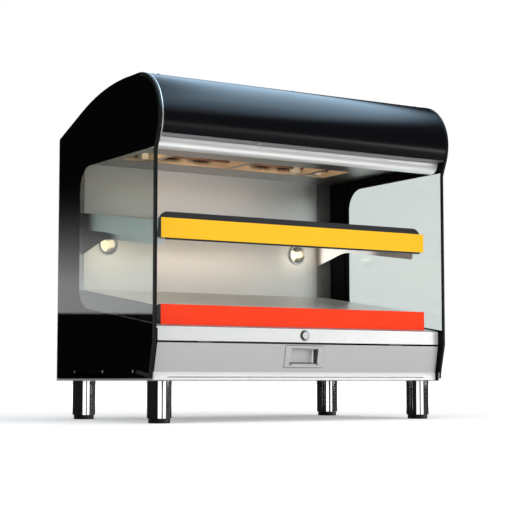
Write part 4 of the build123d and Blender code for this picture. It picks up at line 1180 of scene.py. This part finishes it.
# %% Finish the small pieces
small_finishes = {
    "side_glass_screws": zinc_plate,
    "panel_screws": zinc_plate,
    "radiant_element": sheath,
    "element_supports": ceramic,
    "lamp_bezels": bright_roll,
    "lamp_reflectors": lamp_mirror,
    "lamp_bulbs": bulb_glass,
    "cable_gland": black_nylon,
    "lock_housing": lock_chrome,
    "lock_plug": satin_nickel,
    "lock_cam": zinc_plate,
    "door_pivots": zinc_plate,
    "catch_magnets": dark_magnet,
    "thermostats": ceramic,
    "upper_heat_knob": black_knob,
    "lower_heat_knob": black_knob,
    "switch_bodies": black_nylon,
    "power_rocker": black_knob,
    "lights_rocker": black_knob,
    "terminal_block": ceramic,
    "upper_sign_holder": black_nylon,
    "lower_sign_holder": black_nylon,
    "upper_sign_strip": yellow_print,
    "lower_sign_strip": red_print,
    "leg_tubes": chrome_plate,
    "leg_plugs": black_nylon,
    "leg_bolts": zinc_plate,
    "foot_front_left": foot_nylon,
    "foot_rear_left": foot_nylon,
    "foot_front_right": foot_nylon,
    "foot_rear_right": foot_nylon,
}
SMALL_EDGE = (0.2, 2)
ROUNDED_EDGE = {"lock_housing": (1.4, 3)}

for name, material in small_finishes.items():
    place_finish(name, material, *ROUNDED_EDGE.get(name, SMALL_EDGE))
print(len(small_finishes), "small pieces finished")

# %% [markdown]
# ## Nodes that need no new edges
# Prints, wiring and filling have no sheet edges to soften, so they keep their mesh and only get a material.

# %% Dress the nodes that stay as they are
kept_finishes = {
    "border_prints": black_enamel,
    "wiring_harness": woven_sleeving,
    "shelf_base_plates": galvanised_sheet,
    "shelf_heating_mats": red_silicone,
    "shelf_insulation": mineral_wool,
}
for name, material in kept_finishes.items():
    nodes[name].data.materials.clear()
    nodes[name].data.materials.append(material)
print(len(kept_finishes), "nodes dressed in place")

# %% [markdown]
# ## The side glasses
# Each side is one pane. Its face is clear, but its ground edge looks almost black, because that edge mirrors
# the printed border from inside. So the edge faces, and a band of the face along its front edge, get a dark
# material of their own: a painted reflection of the border.

# %% Set the panes
DARK_BAND = 0.010
PANE_AREA = 0.01
BAND_REAR = -0.2

for hand, word in ((-1, "left"), (1, "right")):
    pane = place_finish(f"{word}_side_glass", side_glass, 0.5, 2)
    pane.data.materials.append(glass_edge)
    pick_faces(pane, lambda face: face.normal.x * hand > FACING and face.area > PANE_AREA)
    bpy.ops.mesh.inset(thickness=DARK_BAND, use_select_inset=True)
    bpy.ops.object.mode_set(mode="OBJECT")
    level_shading(pane)
    banded = 0
    for face in pane.data.polygons:
        in_band = face.select and face.center.y < BAND_REAR
        banded += in_band
        if in_band or abs(face.normal.x) < FACING:
            face.material_index = 1
    print(word, "pane set,", banded, "faces in its dark band")

# %% [markdown]
# ## Lamp lenses
# A round lamp in a heated cabinet sits behind a pressed glass lens, whose rings scatter the light. One lens
# starts as a disc, and its front is inset again and again, each ring pushed in or out by less than a
# millimetre. The second lens is a copy.

# %% Press the lamp lenses
LENS_RADIUS = 0.024
LENS_THICK = 0.0025
RING_WIDTH = 0.0036
RING_STEP = 0.0007

bpy.ops.mesh.primitive_cylinder_add(
    vertices=48,
    radius=LENS_RADIUS,
    depth=LENS_THICK,
    location=(-LENS_X, WALL_DEPTH - LENS_THICK / 2, LENS_HEIGHT),
    rotation=(radians(90), 0, 0),
)
lens = bpy.context.object
bpy.ops.object.transform_apply()
pick_faces(lens, lambda face: face.normal.y < -FACING)
for ring in range(5):
    bpy.ops.mesh.inset(thickness=RING_WIDTH, depth=RING_STEP if ring % 2 else -RING_STEP)
bpy.ops.object.mode_set(mode="OBJECT")
lenses = join_as("ringed_lenses", [lens, copy_at(lens, Matrix.Translation((2 * LENS_X, 0, 0)))])
level_shading(lenses, 50)
dress(lenses, lens_glass, "root")
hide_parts("lamp_lenses")
print("lenses pressed,", len(lenses.data.polygons), "faces")

# %% [markdown]
# ## Knobs and their dials
# Behind the door sit two heat knobs and two rocker switches. Moulded ribs give fingers a hold on each knob,
# a white line shows where it points, and the sheet behind is printed with ticks and numbers. One rib is
# shaped and then copied round the skirt.

# %% Rib the knobs and the cable gland
PANEL_FACE = -0.212
KNOB_HEIGHT = 0.158
KNOB_PLACES = {"upper": 0.160, "lower": 0.240}
KNOB_RADIUS = 0.019
KNOB_SKIRT = (PANEL_FACE - 0.0070, PANEL_FACE - 0.0012)
GLAND_GRIP = (0.3095, 0.3150)
RIB_WIDTH = 0.0022
RIB_RISE = 0.0012


def rib_ring(name, x, height, radius, front, rear, count, width):
    """Small tapered ribs round a cylinder that lies along the depth of the cabinet"""
    rib = small_block((x, (front + rear) / 2, height + radius), (width, rear - front, RIB_RISE))
    pick_faces(rib, lambda face: face.normal.z > FACING)
    bpy.ops.mesh.inset(thickness=width * 0.2)
    bpy.ops.transform.translate(value=(0, 0, 0.0002))
    bpy.ops.object.mode_set(mode="OBJECT")
    centre = Vector((x, 0, height))
    there, back = Matrix.Translation(centre), Matrix.Translation(-centre)
    ribs = [rib]
    for number in range(1, count):
        ribs.append(copy_at(rib, there @ Matrix.Rotation(2 * pi * number / count, 4, "Y") @ back))
    return join_as(name, ribs)


for word, x in KNOB_PLACES.items():
    ribs = rib_ring(f"{word}_knob_ribs", x, KNOB_HEIGHT, KNOB_RADIUS, *KNOB_SKIRT, 24, RIB_WIDTH)
    dress(ribs, black_knob, f"{word}_heat_control")
gland_ribs = rib_ring("gland_ribs", 0.380, 0.160, 0.012, *GLAND_GRIP, 14, RIB_WIDTH)
dress(gland_ribs, black_nylon, "root")
print("knobs and gland ribbed")

# %% [markdown]
# ## White pointers
# Each pointer is a small block whose front is inset and raised by a tenth of a millimetre.

# %% Inlay the pointers
GRIP_FACE = -0.2295


def moulded_white():
    finish = Finish("white_inlay")
    scuff = finish.noise(finish.object_place(), 300, 3, 0.6)
    white = finish.blend(scuff, paint(0.86, 0.86, 0.84), paint(0.78, 0.78, 0.76))
    finish.surface(Base_Color=white, Roughness=0.35 + scuff * 0.15)
    return finish.material


white_inlay = moulded_white()
for word, x in KNOB_PLACES.items():
    pointer = small_block((x, GRIP_FACE, KNOB_HEIGHT + 0.0085), (0.0018, 0.0006, 0.011))
    pointer.name = f"{word}_knob_pointer"
    pick_faces(pointer, lambda face: face.normal.y < -FACING)
    bpy.ops.mesh.inset(thickness=0.0003)
    bpy.ops.transform.translate(value=(0, -0.0001, 0))
    bpy.ops.object.mode_set(mode="OBJECT")
    dress(pointer, white_inlay, f"{word}_heat_control")
print("pointers inlaid")

# %% [markdown]
# ## Dial print
# Ticks and even numbers run round each knob over its whole turn. Text is made a mesh before it is placed.

# %% Print the dials
TICK_REACH = 0.0245
NUMBER_REACH = 0.0305
FULL_TURN = 270
DIAL_STEPS = 10
SWITCH_PLACES = (0.315, 0.370)
SWITCH_WORD_REACH = 0.0225
PRINT_SIZE = 0.0062


def printed_word(words, x, height, size):
    """Letters made a mesh first, then stood up against the panel"""
    bpy.ops.object.text_add()
    letters = bpy.context.object
    letters.data.body = words
    letters.data.size = size
    letters.data.extrude = 0.0001
    letters.data.resolution_u = 3
    letters.data.align_x = "CENTER"
    letters.data.align_y = "CENTER"
    bpy.ops.object.convert(target="MESH")
    letters.data.transform(Matrix.Translation((x, PANEL_FACE, height)) @ Matrix.Rotation(radians(90), 4, "X"))
    return letters


marks = []
for x in KNOB_PLACES.values():
    tick = small_block((x, PANEL_FACE, KNOB_HEIGHT + TICK_REACH), (0.0007, 0.0002, 0.003))
    centre = Vector((x, 0, KNOB_HEIGHT))
    there, back = Matrix.Translation(centre), Matrix.Translation(-centre)
    for number in range(DIAL_STEPS + 1):
        turn = radians(FULL_TURN * number / DIAL_STEPS)
        marks.append(copy_at(tick, there @ Matrix.Rotation(turn, 4, "Y") @ back))
        if number % 2 == 0:
            aside = x + NUMBER_REACH * sin(turn)
            height = KNOB_HEIGHT + NUMBER_REACH * cos(turn)
            marks.append(printed_word(str(number), aside, height, PRINT_SIZE))
    bpy.data.objects.remove(tick)
for x in SWITCH_PLACES:
    marks.append(printed_word("ON", x, KNOB_HEIGHT + SWITCH_WORD_REACH, PRINT_SIZE))
    marks.append(printed_word("OFF", x, KNOB_HEIGHT - SWITCH_WORD_REACH, PRINT_SIZE))
dial_print = join_as("dial_print", marks)
dress(dial_print, black_enamel, "root")
print("dials printed,", len(dial_print.data.polygons), "faces")

# %% [markdown]
# ## Screw recesses
# A screw head without a drive recess looks like a rivet. One cross-shaped cutter is grown from a small block
# by pulling out its four sides. It is copied onto each head that faces outwards, and a Boolean takes it away.

# %% Cut the screw recesses
HEAD_AREA = 0.000022
CABINET_MIDDLE = Vector((0, 0, 0.45))
RECESS_SIZES = (0.0005, 0.0016, 0.0008)


def cross_cutter(half, arm, depth):
    bpy.ops.mesh.primitive_cube_add(size=2 * half, location=(0, 0, 0))
    cutter = bpy.context.object
    pick_faces(cutter, lambda face: abs(face.normal.z) < 0.1)
    bpy.ops.mesh.extrude_faces_move(TRANSFORM_OT_shrink_fatten={"value": arm})
    bpy.ops.mesh.select_all(action="SELECT")
    bpy.ops.transform.resize(value=(1, 1, depth / half))
    bpy.ops.object.mode_set(mode="OBJECT")
    return cutter


for name in ("panel_screws", "side_glass_screws"):
    screws = finished[name]
    heads = [
        (face.center.copy(), face.normal.copy())
        for face in screws.data.polygons
        if face.area > HEAD_AREA and face.normal.dot(face.center - CABINET_MIDDLE) > 0
    ]
    cutter = cross_cutter(*RECESS_SIZES)
    turned = [
        copy_at(cutter, Matrix.Translation(place) @ way.to_track_quat("Z", "Y").to_matrix().to_4x4())
        for place, way in heads
    ]
    bpy.data.objects.remove(cutter)
    cutters = join_as("cutters", turned)
    choose(screws)
    recess = screws.modifiers.new("recess", "BOOLEAN")
    recess.operation = "DIFFERENCE"
    recess.solver = "EXACT"
    recess.object = cutters
    bpy.ops.object.modifier_apply(modifier="recess")
    bpy.data.objects.remove(cutters)
    level_shading(screws)
    print(name, len(heads), "recesses,", len(screws.data.polygons), "faces")

# %% [markdown]
# ## Louvre hoods
# The slots in the rear cover get pressed hoods that keep drips out: one shape and its copies.

# %% Press the louvre hoods
COVER_FACE = 0.308
HOOD_LENGTH = 0.062
HOOD_PROUD = 0.006
HOOD_TALL = 0.009
LOUVRE_GROUPS = (0.205, 0.725)
LOUVRE_ROWS = 4
LOUVRE_COLUMNS = 7
ROW_PITCH = 0.015
COLUMN_PITCH = 0.084

hood = small_block((0, COVER_FACE + HOOD_PROUD / 2, 0.001), (HOOD_LENGTH, HOOD_PROUD, HOOD_TALL))
pick_faces(hood, lambda face: face.normal.z < -FACING or face.normal.y < -FACING)
bpy.ops.mesh.delete(type="FACE")
bpy.ops.mesh.select_mode(type="EDGE")
bpy.ops.object.mode_set(mode="OBJECT")
for edge in hood.data.edges:
    ends = [hood.data.vertices[number].co for number in edge.vertices]
    edge.select = all(end.z > 0.004 and end.y > COVER_FACE + HOOD_PROUD / 2 for end in ends)
bpy.ops.object.mode_set(mode="EDIT")
bpy.ops.mesh.bevel(offset=0.0048, segments=4)
bpy.ops.object.mode_set(mode="OBJECT")
wall = hood.modifiers.new("wall", "SOLIDIFY")
wall.thickness = 0.0008
bpy.ops.object.modifier_apply(modifier="wall")
hoods = []
for group in LOUVRE_GROUPS:
    for row in range(LOUVRE_ROWS):
        for column in range(LOUVRE_COLUMNS):
            aside = (column - (LOUVRE_COLUMNS - 1) / 2) * COLUMN_PITCH
            height = group + (row - (LOUVRE_ROWS - 1) / 2) * ROW_PITCH
            hoods.append(copy_at(hood, Matrix.Translation((aside, 0, height))))
bpy.data.objects.remove(hood)
louvre_hoods = join_as("louvre_hoods", hoods)
level_shading(louvre_hoods)
dress(louvre_hoods, sheet_across, "root")
print(len(hoods), "hoods pressed,", len(louvre_hoods.data.polygons), "faces")
